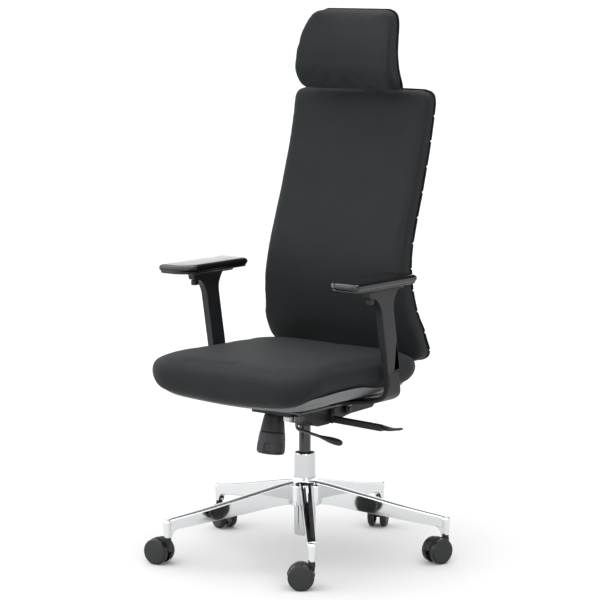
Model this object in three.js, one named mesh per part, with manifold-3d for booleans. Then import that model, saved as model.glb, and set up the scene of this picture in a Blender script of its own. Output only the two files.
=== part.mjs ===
// Swivel office chair: high back with a headrest, height-adjustable arms, a five-star base on
// twin-wheel castors, a gas lift and a synchronous tilt mechanism.
// Millimetres, +Z up. The chair faces -Y, so +X is at the sitter's left hand. The origin is on the
// floor under the middle of the chair's outer box.

import * as THREE from 'three';
import { mergeVertices } from 'three/addons/utils/BufferGeometryUtils.js';
import Module from 'manifold-3d';

const wasm = await Module();
wasm.setup();

// ---- driving dimensions -------------------------------------------------------------------
// Every place below is measured from the swivel axis, which stands here from the origin.
const SWIVEL_X = 4.5;
const SWIVEL_Y = -15.5;
const GAP = 0.3; // clearance between touching pieces

// star base
const LEG_COUNT = 5;
const FIRST_LEG_ANGLE = 23.1; // degrees from +X to the first leg
const TIP_RADIUS = 350;
const STEM_RADIUS = 338; // swivel axis of a castor, from the chair's axis
const HUB_RADIUS = 38;
const HUB_BOTTOM = 119;
const HUB_TOP = 172;
const LEG_TIP_TOP = 103;
const LEG_TIP_BOTTOM = 79;
const SOCKET_BOTTOM = 63;
const LEG_WIDTH_HUB = 29;
const LEG_WIDTH_TIP = 20;
const LEG_WALL = 3.5;

// castors
const WHEEL_RADIUS = 30;
const WHEEL_WIDTH = 16;
const HOOD_WIDTH = 14;
const TRAIL = 24; // the wheels' axle behind the stem
const STEM_RADIUS_IN_LEG = 5.5;
const STEM_RADIUS_IN_HOOD = 5;
const CASTOR_TURN = [-105.4, -63.1, -21.4, 187.3, 218.5]; // which way each castor trails

// gas lift
const TUBE_RADIUS = 25;
const TUBE_WALL = 2.5;
const TUBE_BOTTOM = 44;
const TUBE_TOP = 240;
const ROD_RADIUS = 5;
const CYLINDER_RADIUS = 14;
const CYLINDER_BOTTOM = 124;
const CYLINDER_TOP = 342;

// tilt mechanism
const HOUSING_HALF_WIDTH = 55;
const HOUSING_WALL = 4;
const BOSS_BOTTOM = 306;
const FRONT_PIVOT = [-40, 348]; // y, z of the axle that the seat plate tilts on
const REAR_PIVOT = [88, 337]; // y, z of the axle that the back tilts on
const PIVOT_RADIUS = 5;
const KNOB_TILT = 9; // degrees that the tension knob's axis leans

// seat
const SEAT_HALF_WIDTH = 246;
const SEAT_FRONT = -318;
const SEAT_REAR = 167;
const SEAT_TOP = 489;
const SEAT_CORNER = 100;
const PLATE_BOTTOM = 362;
const PLATE_THICK = 5;

// armrests
const ARM_LEAN = 10; // degrees that the uprights lean forward
const ARM_FOOT = [258.5, -14, 461]; // the seam between the upright and its sliding sleeve
const POST_THICK = 12;
const POST_DEPTH = 30;
const SLEEVE_THICK = 19;
const SLEEVE_DEPTH = 40;
const PAD_CENTRE = [247, -70];
const PAD_LENGTH = 240;
const PAD_WIDTH = 92;
const PAD_TOP = 681;
const PAD_BOTTOM = 661;
const SLEEVE_TOP = 652; // level top of the sleeve, under the pad's base

// backrest and headrest: depth of the mid surface against height
const BACK_THICK = 42;
const SHELL_THICK = 14;
const BACK_LINE = [[450, 184], [480, 167.5], [520, 147.5], [560, 134.5], [600, 124.5], [640, 119.5],
  [680, 120.5], [720, 127.5], [760, 139.5], [800, 152.5], [840, 166.5], [880, 178.5], [920, 190.5],
  [960, 201.5], [1000, 210.5], [1040, 218.5], [1082, 224.5]];
const BACK_HALF = [[450, 174], [456, 202], [468, 220], [490, 229], [530, 229], [560, 221], [600, 215],
  [640, 211], [680, 207], [720, 204], [800, 202], [900, 201], [1000, 200.5], [1050, 200],
  [1068, 195], [1078, 184], [1082, 164]];
const HEAD_THICK = 42;
const HEAD_LINE = [[1086, 175.5], [1100, 167.5], [1120, 158.5], [1140, 154.5], [1160, 154.5], [1180, 157.5],
  [1200, 162.5], [1220, 169.5], [1240, 177.5], [1256, 183.5], [1270, 187.5]];
const HEAD_HALF = [[1086, 113], [1093, 131], [1104, 141], [1120, 143], [1140, 141.5], [1170, 138],
  [1200, 134], [1220, 130], [1240, 123], [1256, 113], [1266, 99], [1270, 85]];

// ---- finishes -----------------------------------------------------------------------------
const finish = (color, roughness, metalness) => ({ color, roughness, metalness });
const CHROME = finish('#d9dadb', 0.08, 1);
const STEEL = finish('#8f9294', 0.35, 1);
const BLACK_STEEL = finish('#17181a', 0.35, 0.6);
const CAST_BLACK = finish('#232426', 0.55, 0.2);
const NYLON = finish('#2a2b2d', 0.5, 0);
const GREY_PLASTIC = finish('#4a4c4e', 0.5, 0);
const TYRE = finish('#2f3032', 0.45, 0);
const SOFT_PAD = finish('#262729', 0.6, 0);
const FABRIC = finish('#303436', 0.9, 0);

// ---- helpers ------------------------------------------------------------------------------
const radians = THREE.MathUtils.degToRad;

// Height-to-value tables are read with straight lines between their points.
function along(table, height) {
  const last = table.length - 1;
  if (height <= table[0][0]) return table[0][1];
  if (height >= table[last][0]) return table[last][1];
  const k = table.findIndex((row) => row[0] >= height);
  const [h0, v0] = table[k - 1];
  const [h1, v1] = table[k];
  return v0 + ((v1 - v0) * (height - h0)) / (h1 - h0);
}

// A closed mesh with shared vertices, which the solid library needs.
function welded(geometry) {
  const bare = geometry.clone();
  bare.deleteAttribute('normal');
  bare.deleteAttribute('uv');
  return mergeVertices(bare, 1e-3);
}

function solidOf(geometry) {
  const mesh = welded(geometry);
  return new wasm.Manifold(new wasm.Mesh({
    numProp: 3,
    vertProperties: new Float32Array(mesh.attributes.position.array),
    triVerts: new Uint32Array(mesh.index.array),
  }));
}

function geometryOf(solid) {
  const mesh = solid.getMesh();
  const geometry = new THREE.BufferGeometry();
  geometry.setAttribute('position', new THREE.BufferAttribute(mesh.vertProperties, 3));
  geometry.setIndex(new THREE.BufferAttribute(mesh.triVerts, 1));
  return geometry;
}

function cut(body, ...tools) {
  return geometryOf(tools.reduce((solid, tool) => solid.subtract(solidOf(tool)), solidOf(body)));
}

function join(body, ...others) {
  return geometryOf(others.reduce((solid, other) => solid.add(solidOf(other)), solidOf(body)));
}

// A turned piece about Z from [radius, height] points; the profile closes on itself or on the axis.
function turned(profile, sides = 24) {
  const points = profile.map(([r, z]) => new THREE.Vector2(r, z));
  if (profile[0][0] > 0) points.push(points[0].clone());
  const lathe = new THREE.LatheGeometry(points, sides);
  lathe.rotateX(Math.PI / 2);
  return lathe;
}

function cylinder(radius, length, sides = 16) {
  return new THREE.CylinderGeometry(radius, radius, length, sides);
}

// A plate of constant width across X from its outline in the Y-Z plane.
function sidePlate(outline, x0, x1) {
  const shape = new THREE.Shape(outline.map(([y, z]) => new THREE.Vector2(y, z)));
  const plate = new THREE.ExtrudeGeometry(shape, { depth: x1 - x0, bevelEnabled: false });
  plate.applyMatrix4(new THREE.Matrix4().set(0, 0, 1, x0, 1, 0, 0, 0, 0, 1, 0, 0, 0, 0, 0, 1));
  return plate;
}

function roundedShape(width, height, radius, steps = 3) {
  const shape = new THREE.Shape();
  const x = width / 2;
  const y = height / 2;
  const corners = [[x - radius, y - radius, 0], [radius - x, y - radius, 90],
    [radius - x, radius - y, 180], [x - radius, radius - y, 270]];
  const points = [];
  for (const [cx, cy, start] of corners) {
    for (let k = 0; k <= steps; k += 1) {
      const angle = radians(start + (90 * k) / steps);
      points.push(new THREE.Vector2(cx + radius * Math.cos(angle), cy + radius * Math.sin(angle)));
    }
  }
  shape.setFromPoints(points);
  return shape;
}

// A straight bar along Z with a rounded section.
function roundedBar(width, depth, radius, z0, z1, steps = 3) {
  const bar = new THREE.ExtrudeGeometry(roundedShape(width, depth, radius, steps),
    { depth: z1 - z0, bevelEnabled: false });
  return bar.translate(0, 0, z0);
}

// A box whose points, from -1 to 1 each way, are carried to their places by a function.
function mappedBox(nu, nv, nw, place) {
  const box = new THREE.BoxGeometry(2, 2, 2, nu, nv, nw);
  const position = box.attributes.position;
  for (let k = 0; k < position.count; k += 1) {
    const [x, y, z] = place(position.getX(k), position.getY(k), position.getZ(k));
    position.setXYZ(k, x, y, z);
  }
  return box;
}

const chair = new THREE.Group();
chair.name = 'swivel_office_chair';
const axis = new THREE.Group();
axis.position.set(SWIVEL_X, SWIVEL_Y, 0);
chair.add(axis);

function piece(name, geometry, look, parent = axis) {
  const mesh = new THREE.Mesh(geometry, new THREE.MeshStandardMaterial(look));
  mesh.name = name;
  parent.add(mesh);
  return mesh;
}

// ---- star base ----------------------------------------------------------------------------
const LEG_ROOT = 20; // radius inside the hub where a leg starts
// Along a leg, height of its top and bottom edge and its width against the radius.
const LEG_TOP_EDGE = [[LEG_ROOT, HUB_TOP], [HUB_RADIUS, HUB_TOP - 2], [TIP_RADIUS, LEG_TIP_TOP]];
const LEG_BOTTOM_EDGE = [[LEG_ROOT, HUB_BOTTOM], [HUB_RADIUS, HUB_BOTTOM + 1], [TIP_RADIUS, LEG_TIP_BOTTOM]];
const LEG_WIDTH = [[LEG_ROOT, LEG_WIDTH_HUB], [TIP_RADIUS, LEG_WIDTH_TIP]];
const LEG_EDGE = 2.5; // bevel along the leg's top edges

// A leg's outside, or with an inset its hollow, which runs out below by the drop.
function legBlank(inner, outer, inset, drop) {
  const bevel = inset ? 0 : LEG_EDGE;
  return mappedBox(3, 2, 2, (u, v, w) => {
    const r = inner + ((outer - inner) * (u + 1)) / 2;
    const top = along(LEG_TOP_EDGE, r) - inset;
    const half = along(LEG_WIDTH, r) / 2 - inset;
    if (w > 0) return [r, v * (half - bevel), top - bevel * Math.abs(v)];
    if (w < 0) return [r, v * half, along(LEG_BOTTOM_EDGE, r) - drop];
    return [r, v * half, top - 1.6 * LEG_EDGE];
  });
}

const SOCKET_RADIUS = 12;
function tipSocket() {
  const socket = turned([[0, SOCKET_BOTTOM], [SOCKET_RADIUS - 1, SOCKET_BOTTOM],
    [SOCKET_RADIUS, SOCKET_BOTTOM + 1], [SOCKET_RADIUS, LEG_TIP_TOP + 1], [SOCKET_RADIUS - 2, LEG_TIP_TOP + 3],
    [0, LEG_TIP_TOP + 3]], 16);
  return socket.translate(STEM_RADIUS, 0, 0);
}

function starBase() {
  let solid = solidOf(turned([[0, HUB_BOTTOM], [HUB_RADIUS - 2, HUB_BOTTOM], [HUB_RADIUS, HUB_BOTTOM + 3],
    [HUB_RADIUS, HUB_TOP - 4], [HUB_RADIUS - 4, HUB_TOP], [TUBE_RADIUS + 3, HUB_TOP + 10],
    [0, HUB_TOP + 10]], 30));
  const cuts = [];
  for (let k = 0; k < LEG_COUNT; k += 1) {
    const turn = radians(FIRST_LEG_ANGLE + (360 / LEG_COUNT) * k);
    const leg = legBlank(LEG_ROOT, TIP_RADIUS - SOCKET_RADIUS, 0, 0).rotateZ(turn);
    solid = solid.add(solidOf(leg)).add(solidOf(tipSocket().rotateZ(turn)));
    cuts.push(legBlank(HUB_RADIUS + 6, STEM_RADIUS - SOCKET_RADIUS - 3, LEG_WALL, 8).rotateZ(turn));
    const bore = turned([[0, SOCKET_BOTTOM - 2], [STEM_RADIUS_IN_LEG + GAP, SOCKET_BOTTOM - 2],
      [STEM_RADIUS_IN_LEG + GAP, LEG_TIP_TOP - 4], [0, LEG_TIP_TOP - 4]], 12);
    cuts.push(bore.translate(STEM_RADIUS, 0, 0).rotateZ(turn));
  }
  cuts.push(cylinder(TUBE_RADIUS + GAP, 120, 24).rotateX(Math.PI / 2).translate(0, 0, 150));
  return cuts.reduce((body, tool) => body.subtract(solidOf(tool)), solid);
}
piece('star_base', geometryOf(starBase()), CHROME);

// ---- castors ------------------------------------------------------------------------------
// Each castor is made with its stem on Z and its axle TRAIL away along +X.
const NECK_TOP = SOCKET_BOTTOM - GAP;
const NECK_RADIUS = 8;
const COLLAR_BOTTOM = 54; // the collar is wider than the gap between the wheels, so it stays above them
const AXLE_RADIUS = 4;
const WHEEL_INSIDE = HOOD_WIDTH / 2 + 1; // a wheel's inner and outer face, from the castor's middle
const WHEEL_OUTSIDE = WHEEL_INSIDE + WHEEL_WIDTH;
const DISC_THICK = 4; // what is left of a wheel outside its axle bore
const STEM_BOTTOM = 44;

// The fender between the wheels: an arc plate over the tyre with a collar for the stem.
function castorHood() {
  const outline = new THREE.Shape();
  outline.absarc(0, 0, WHEEL_RADIUS + 2, radians(-10), radians(190), false);
  outline.lineTo(-8, -9);
  outline.lineTo(8, -9);
  outline.closePath();
  const fin = new THREE.ExtrudeGeometry(outline, { depth: HOOD_WIDTH, curveSegments: 10, bevelEnabled: false });
  fin.translate(0, 0, -HOOD_WIDTH / 2).rotateX(Math.PI / 2).translate(TRAIL, 0, WHEEL_RADIUS);
  const collar = turned([[0, COLLAR_BOTTOM], [NECK_RADIUS, COLLAR_BOTTOM], [NECK_RADIUS, NECK_TOP - 1],
    [NECK_RADIUS - 1, NECK_TOP], [0, NECK_TOP]], 12);
  const throat = new THREE.BoxGeometry(16, HOOD_WIDTH, COLLAR_BOTTOM - WHEEL_RADIUS + 2);
  throat.translate(2, 0, (COLLAR_BOTTOM + WHEEL_RADIUS) / 2);
  const above = new THREE.BoxGeometry(200, 100, 40).translate(0, 0, NECK_TOP + 20);
  const stemBore = cylinder(STEM_RADIUS_IN_HOOD + GAP, 60, 12).rotateX(Math.PI / 2);
  stemBore.translate(0, 0, STEM_BOTTOM + 30 - GAP);
  const axleBore = cylinder(AXLE_RADIUS + GAP, 60, 12).translate(TRAIL, 0, WHEEL_RADIUS);
  return cut(join(fin, collar, throat), above, stemBore, axleBore);
}

// A wheel has flats instead of a round tread, one of them down on the floor.
const WHEEL_SIDES = 16;
function castorWheel(side) {
  const inner = WHEEL_INSIDE;
  const outer = WHEEL_OUTSIDE;
  const rim = WHEEL_RADIUS / Math.cos(Math.PI / WHEEL_SIDES);
  const profile = [[0, inner + 5], [rim - 6, inner + 5], [rim - 5, inner], [rim - 1.5, inner], [rim, inner + 2],
    [rim, outer - 4], [rim - 2.5, outer - 1], [rim - 5, outer], [0, outer]];
  const wheel = turned(profile, WHEEL_SIDES).rotateZ(Math.PI / WHEEL_SIDES);
  const bore = turned([[0, inner], [AXLE_RADIUS + GAP, inner], [AXLE_RADIUS + GAP, outer - DISC_THICK],
    [0, outer - DISC_THICK]], 10);
  const solid = cut(wheel, bore);
  solid.rotateX(side > 0 ? -Math.PI / 2 : Math.PI / 2);
  return solid.translate(TRAIL, 0, WHEEL_RADIUS);
}

for (let k = 0; k < LEG_COUNT; k += 1) {
  const turn = radians(FIRST_LEG_ANGLE + (360 / LEG_COUNT) * k);
  const castor = new THREE.Group();
  castor.position.set(STEM_RADIUS * Math.cos(turn), STEM_RADIUS * Math.sin(turn), 0);
  castor.rotation.z = radians(CASTOR_TURN[k]);
  axis.add(castor);
  const name = `castor_${k + 1}`;
  piece(`${name}_hood`, castorHood(), NYLON, castor);
  const stem = turned([[0, STEM_BOTTOM], [STEM_RADIUS_IN_HOOD, STEM_BOTTOM], [STEM_RADIUS_IN_HOOD, NECK_TOP + GAP],
    [STEM_RADIUS_IN_LEG, NECK_TOP + GAP + 1], [STEM_RADIUS_IN_LEG, 88], [STEM_RADIUS_IN_LEG - 1, 90],
    [STEM_RADIUS_IN_LEG - 1, 93], [STEM_RADIUS_IN_LEG, 95], [STEM_RADIUS_IN_LEG - 1.5, 98], [0, 98]], 10);
  piece(`${name}_stem`, stem, STEEL, castor);
  const axleHalf = WHEEL_OUTSIDE - DISC_THICK - GAP;
  const axle = cylinder(AXLE_RADIUS, 2 * axleHalf, 10).translate(TRAIL, 0, WHEEL_RADIUS);
  piece(`${name}_axle`, axle, STEEL, castor);
  piece(`${name}_wheel_left`, castorWheel(1), TYRE, castor);
  piece(`${name}_wheel_right`, castorWheel(-1), TYRE, castor);
}

// ---- gas lift -----------------------------------------------------------------------------
const TUBE_INNER = TUBE_RADIUS - TUBE_WALL;
const TUBE_FLOOR = TUBE_BOTTOM + 3;
piece('column_outer_tube', turned([[ROD_RADIUS + GAP, TUBE_BOTTOM], [TUBE_RADIUS - 1, TUBE_BOTTOM],
  [TUBE_RADIUS, TUBE_BOTTOM + 1], [TUBE_RADIUS, TUBE_TOP - 1], [TUBE_RADIUS - 1, TUBE_TOP],
  [TUBE_INNER, TUBE_TOP], [TUBE_INNER, TUBE_FLOOR], [ROD_RADIUS + GAP, TUBE_FLOOR]]), CHROME);
const BUSH_BOTTOM = 180;
piece('column_guide_bush', turned([[CYLINDER_RADIUS + GAP, BUSH_BOTTOM], [TUBE_INNER - GAP, BUSH_BOTTOM],
  [TUBE_INNER - GAP, TUBE_TOP - 2], [CYLINDER_RADIUS + GAP, TUBE_TOP - 2]]), NYLON);
const BEARING_TOP = TUBE_FLOOR + GAP + 6;
const BEARING_RADIUS = 14;
piece('thrust_bearing', turned([[ROD_RADIUS + GAP, TUBE_FLOOR + GAP], [BEARING_RADIUS, TUBE_FLOOR + GAP],
  [BEARING_RADIUS, BEARING_TOP], [ROD_RADIUS + GAP, BEARING_TOP]], 16), STEEL);
const ROD_BOTTOM = 38;
const ROD_TOP = 268;
const PISTON_BOTTOM = 252;
const PISTON_RADIUS = 11;
const SHOULDER_BOTTOM = BEARING_TOP + GAP; // the rod's shoulder stands on the bearing
const SHOULDER_RADIUS = 9;
piece('piston_rod', turned([[0, ROD_BOTTOM], [ROD_RADIUS - 1, ROD_BOTTOM], [ROD_RADIUS, ROD_BOTTOM + 1],
  [ROD_RADIUS, SHOULDER_BOTTOM], [SHOULDER_RADIUS, SHOULDER_BOTTOM], [SHOULDER_RADIUS, SHOULDER_BOTTOM + 4],
  [ROD_RADIUS, SHOULDER_BOTTOM + 4], [ROD_RADIUS, PISTON_BOTTOM], [PISTON_RADIUS, PISTON_BOTTOM],
  [PISTON_RADIUS, ROD_TOP], [0, ROD_TOP]], 16), STEEL);
const CYLINDER_INNER = 11.8;
const PIN_RADIUS = 4;
piece('gas_cylinder', turned([[ROD_RADIUS + GAP, CYLINDER_BOTTOM], [CYLINDER_RADIUS - 1, CYLINDER_BOTTOM],
  [CYLINDER_RADIUS, CYLINDER_BOTTOM + 1], [CYLINDER_RADIUS, CYLINDER_TOP - 1],
  [CYLINDER_RADIUS - 1, CYLINDER_TOP],
  [PIN_RADIUS + GAP, CYLINDER_TOP], [PIN_RADIUS + GAP, CYLINDER_TOP - 5], [CYLINDER_INNER, CYLINDER_TOP - 5],
  [CYLINDER_INNER, CYLINDER_BOTTOM + 6], [ROD_RADIUS + GAP, CYLINDER_BOTTOM + 6]], 20), BLACK_STEEL);
piece('release_pin', turned([[0, CYLINDER_TOP - 8], [PIN_RADIUS, CYLINDER_TOP - 8],
  [PIN_RADIUS, CYLINDER_TOP + 4], [PIN_RADIUS - 1, CYLINDER_TOP + 5], [0, CYLINDER_TOP + 5]], 12), STEEL);

// ---- tilt mechanism -----------------------------------------------------------------------
// The top edge falls to the rear, so that the seat can tilt down over it.
const HOUSING_TOP = 358;
const HOUSING_REAR_TOP = 341.5;
const HOUSING_FRONT = -128;
const HOUSING_REAR = 164;
const HOUSING_OUTLINE = [[-30, HOUSING_TOP], [HOUSING_FRONT, HOUSING_TOP], [HOUSING_FRONT, 349], [-72, 342],
  [-20, BOSS_BOTTOM + 4], [18, BOSS_BOTTOM + 4], [100, 322], [150, 329], [HOUSING_REAR, 335],
  [HOUSING_REAR, HOUSING_REAR_TOP]];
const KNOB_PLACE = [0, -112, 356]; // where the knob's axis meets the housing
const TILT_STUB = [30, 342]; // y, z of the tilt lever's axle
const HEIGHT_STUB = [-107.5, 352]; // y, z of the height lever's axle

function mechanismHousing() {
  const outer = sidePlate(HOUSING_OUTLINE, -HOUSING_HALF_WIDTH, HOUSING_HALF_WIDTH);
  const boss = turned([[0, BOSS_BOTTOM], [20, BOSS_BOTTOM], [26, BOSS_BOTTOM + 14], [26, 340], [0, 340]], 20);
  const trough = sidePlate([[-120, 370], [-120, 352], [-64, 346], [-18, 326], [18, 326], [98, 327], [146, 334],
    [158, 339], [158, 370]], -HOUSING_HALF_WIDTH + HOUSING_WALL, HOUSING_HALF_WIDTH - HOUSING_WALL);
  const column = turned([[0, 310], [22, 310], [22, 340], [0, 340]], 20);
  const bore = cylinder(CYLINDER_RADIUS + GAP, 80, 24).rotateX(Math.PI / 2).translate(0, 0, 330);
  const pins = [FRONT_PIVOT, REAR_PIVOT].map(([y, z]) => cylinder(PIVOT_RADIUS + GAP, 200, 12)
    .rotateZ(Math.PI / 2).translate(0, y, z));
  const knobWell = cylinder(9.5, 60, 16).rotateX(Math.PI / 2).rotateX(radians(KNOB_TILT));
  knobWell.translate(0, KNOB_PLACE[1], KNOB_PLACE[2] - 6);
  const levers = [[...TILT_STUB, 4.5], [...HEIGHT_STUB, 5.6]].map(([y, z, radius]) => cylinder(radius, 30, 12)
    .rotateZ(Math.PI / 2).translate(HOUSING_HALF_WIDTH, y, z));
  return cut(join(cut(join(outer, boss), trough), column), bore, ...pins, knobWell, ...levers);
}
piece('mechanism_housing', mechanismHousing(), CAST_BLACK);

// A plain axle with a low head at each end.
function pivotPin([y, z], half) {
  const profile = [[0, -half], [PIVOT_RADIUS + 3, -half], [PIVOT_RADIUS + 3, -half + 3], [PIVOT_RADIUS, -half + 3],
    [PIVOT_RADIUS, half - 3], [PIVOT_RADIUS + 3, half - 3], [PIVOT_RADIUS + 3, half], [0, half]];
  return turned(profile, 14).rotateY(Math.PI / 2).translate(0, y, z);
}
const CHEEK_INSIDE = HOUSING_HALF_WIDTH + 3.5;
const CHEEK_OUTSIDE = CHEEK_INSIDE + 7;
const PIN_HEAD = 3 + GAP;
piece('front_pivot_pin', pivotPin(FRONT_PIVOT, HOUSING_HALF_WIDTH + PIN_HEAD), STEEL);
piece('rear_pivot_pin', pivotPin(REAR_PIVOT, CHEEK_OUTSIDE + PIN_HEAD), STEEL);

// The recline spring is a coil round the knob's screw, made here as its envelope with an open core.
const knobFrame = new THREE.Group();
knobFrame.position.set(...KNOB_PLACE);
knobFrame.rotation.x = -radians(KNOB_TILT);
axis.add(knobFrame);
const SCREW_RADIUS = 6;
const SPRING_RADIUS = 17;
piece('tension_knob_sleeve', turned([[SPRING_RADIUS + 1, -49], [26.5, -49], [23, -14], [21.5, -10],
  [SCREW_RADIUS + GAP, -10], [SCREW_RADIUS + GAP, -13], [SPRING_RADIUS + 1, -13]], 24), CAST_BLACK, knobFrame);
piece('tilt_spring', turned([[12.5, -48.6], [SPRING_RADIUS, -48.6], [SPRING_RADIUS, -13.4], [12.5, -13.4]], 16),
  STEEL, knobFrame);

function tensionKnob() {
  const grip = turned([[0, -101], [26, -101], [31.5, -98], [33, -93], [29.5, -52], [28, -49.6], [0, -49.6]], 24);
  const screw = turned([[0, -60], [SCREW_RADIUS, -60], [SCREW_RADIUS, 4], [0, 4]], 14);
  const scallops = [];
  for (let k = 0; k < 4; k += 1) {
    const scallop = new THREE.SphereGeometry(10, 8, 5).scale(0.55, 1, 1.9);
    scallops.push(scallop.translate(33.5, 0, -88).rotateZ(radians(45 + 90 * k)));
  }
  return join(cut(grip, ...scallops), screw);
}
piece('tension_knob', tensionKnob(), NYLON, knobFrame);

// height lever: a bent rod with an oval grip
const LEVER_ROOT = [48, -107, 352];
const LEVER_ROD_RADIUS = 3.8;
const LEVER_DROOP = 8.5; // degrees the grip points down
function leverRod() {
  const path = new THREE.CurvePath();
  const v = (x, y, z) => new THREE.Vector3(x, y, z);
  path.add(new THREE.LineCurve3(v(...LEVER_ROOT), v(56, -108, 352)));
  path.add(new THREE.QuadraticBezierCurve3(v(56, -108, 352), v(61.5, -108.3, 352), v(62, -108.5, 346)));
  path.add(new THREE.LineCurve3(v(62, -108.5, 346), v(63, -109.5, 330)));
  path.add(new THREE.QuadraticBezierCurve3(v(63, -109.5, 330), v(63.6, -110, 320), v(73, -109.5, 318.5)));
  path.add(new THREE.LineCurve3(v(73, -109.5, 318.5), v(134, -107, 309.4)));
  const circle = new THREE.Shape();
  circle.absarc(0, 0, LEVER_ROD_RADIUS, 0, 2 * Math.PI, false);
  return new THREE.ExtrudeGeometry(circle, {
    steps: 20, extrudePath: path, curveSegments: 4, bevelEnabled: false,
  });
}
piece('height_lever_rod', leverRod(), BLACK_STEEL);

function leverGrip() {
  const grip = turned([[0, 0], [4.6, 0], [6.6, 4], [9.5, 22], [10.5, 42], [10, 55], [7.5, 61], [0, 62.5]], 16)
    .scale(0.8, 1, 1);
  grip.rotateY(Math.PI / 2 + radians(LEVER_DROOP)).rotateZ(radians(2)).translate(129, -107.2, 310.2);
  const socket = cylinder(LEVER_ROD_RADIUS + GAP, 12, 12).rotateZ(Math.PI / 2);
  socket.rotateY(radians(LEVER_DROOP)).rotateZ(radians(2)).translate(130, -107.2, 310);
  return cut(grip, socket);
}
piece('height_lever_grip', leverGrip(), NYLON);

// tilt-lock lever: a flat blade on a stub axle, ending in an upturned paddle
const TILT_LEVER_LENGTH = 199;
function tiltLever() {
  const stub = cylinder(4, 26, 12).rotateZ(Math.PI / 2).translate(HOUSING_HALF_WIDTH + 2, ...TILT_STUB);
  const arm = sidePlate([[22, 350], [38, 350], [38, 318], [22, 312]], HOUSING_HALF_WIDTH + 3,
    HOUSING_HALF_WIDTH + 9);
  const blade = mappedBox(8, 1, 1, (u, v, w) => {
    const t = (u + 1) / 2;
    const x = HOUSING_HALF_WIDTH + 4 + TILT_LEVER_LENGTH * t;
    const paddle = THREE.MathUtils.smoothstep(t, 0.7, 0.82);
    const middle = 321 - 5 * Math.min(t, 0.78) + 4 * THREE.MathUtils.smoothstep(t, 0.84, 1);
    const halfHeight = THREE.MathUtils.lerp(8, 2, paddle);
    const tip = 1 - 0.35 * THREE.MathUtils.smoothstep(t, 0.93, 1);
    const halfDepth = THREE.MathUtils.lerp(5.5, 14, paddle) * tip;
    return [x, TILT_STUB[0] + v * halfDepth, middle + w * halfHeight];
  });
  return join(arm, stub, blade);
}
piece('tilt_lever', tiltLever(), NYLON);

// ---- seat ---------------------------------------------------------------------------------
function seatPlate() {
  // pressed steel plate over the mechanism with two lugs down to the front pivot
  const plate = new THREE.BoxGeometry(210, 300, PLATE_THICK).translate(0, 0, PLATE_BOTTOM + PLATE_THICK / 2);
  const lugX = HOUSING_HALF_WIDTH - HOUSING_WALL - GAP - 2.8;
  const lugs = [-1, 1].flatMap((side) => [
    cylinder(9, 5, 16).rotateZ(Math.PI / 2).translate(side * lugX, ...FRONT_PIVOT),
    new THREE.BoxGeometry(5, 18, 16).translate(side * lugX, FRONT_PIVOT[0], PLATE_BOTTOM - 6),
  ]);
  const pivot = cylinder(PIVOT_RADIUS + GAP, 200, 12).rotateZ(Math.PI / 2).translate(0, ...FRONT_PIVOT);
  const pinWell = cylinder(7, 40, 12).rotateX(Math.PI / 2).translate(0, 0, PLATE_BOTTOM);
  const knobWell = cylinder(9, 60, 12).rotateX(Math.PI / 2).translate(0, KNOB_PLACE[1], PLATE_BOTTOM);
  return cut(join(plate, ...lugs), pivot, pinWell, knobWell);
}
piece('seat_plate', seatPlate(), BLACK_STEEL);

const SEAT_MIDDLE = (SEAT_FRONT + SEAT_REAR) / 2;
const SEAT_HALF_DEPTH = (SEAT_REAR - SEAT_FRONT) / 2;
const PAN_INSET = 14;
const PAN_BELLY = PLATE_BOTTOM + PLATE_THICK + 6;
const PAN_THICK = 4;

// A square grid point carried to a rectangle with round corners.
function cornered(u, v, halfWidth, halfDepth, corner) {
  const ring = Math.max(Math.abs(u), Math.abs(v));
  if (ring < 1e-6) return [0, 0];
  const [eu, ev] = [u / ring, v / ring];
  const p = new THREE.Vector2(eu * halfWidth, ev * halfDepth);
  const cx = halfWidth - corner;
  const cy = halfDepth - corner;
  const over = new THREE.Vector2(Math.abs(p.x) - cx, Math.abs(p.y) - cy);
  if (over.x > 0 && over.y > 0) {
    const round = over.clone().setLength(corner);
    p.set(Math.sign(p.x) * (cx + round.x), Math.sign(p.y) * (cy + round.y));
  }
  return [p.x * ring, p.y * ring];
}

// Underside of the pan, which the cushion follows: a shallow dish with its rims higher at the sides.
function dish(u, v) {
  const ring = Math.max(Math.abs(u), Math.abs(v));
  const side = Math.abs(u) / Math.max(Math.hypot(u, v), 1e-6);
  const rim = THREE.MathUtils.lerp(v < 0 ? 28 : 38, 50, side * side);
  return PAN_BELLY + rim * ring ** 3.2;
}

const GRID = 10;

// The cushion bulges past the pan and rounds over at the top: how far each layer stands in.
const CUSHION_INSET = [[-1, PAN_INSET], [-0.5, 3], [0, 0], [0.5, 4], [1, 19]];
function seatCushion() {
  return mappedBox(GRID, GRID, 4, (u, v, w) => {
    const inset = along(CUSHION_INSET, w);
    const [x, y] = cornered(u, v, SEAT_HALF_WIDTH - inset, SEAT_HALF_DEPTH - inset, SEAT_CORNER - inset);
    const bottom = dish(u, v) + PAN_THICK + GAP;
    const front = Math.max(0, -v);
    const top = SEAT_TOP - 4 * (v + 1) - 2 * u ** 4 - 16 * front ** 4;
    return [x, y + SEAT_MIDDLE, THREE.MathUtils.lerp(bottom, top, (w + 1) / 2)];
  });
}
piece('seat_cushion', seatCushion(), FABRIC);

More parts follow.
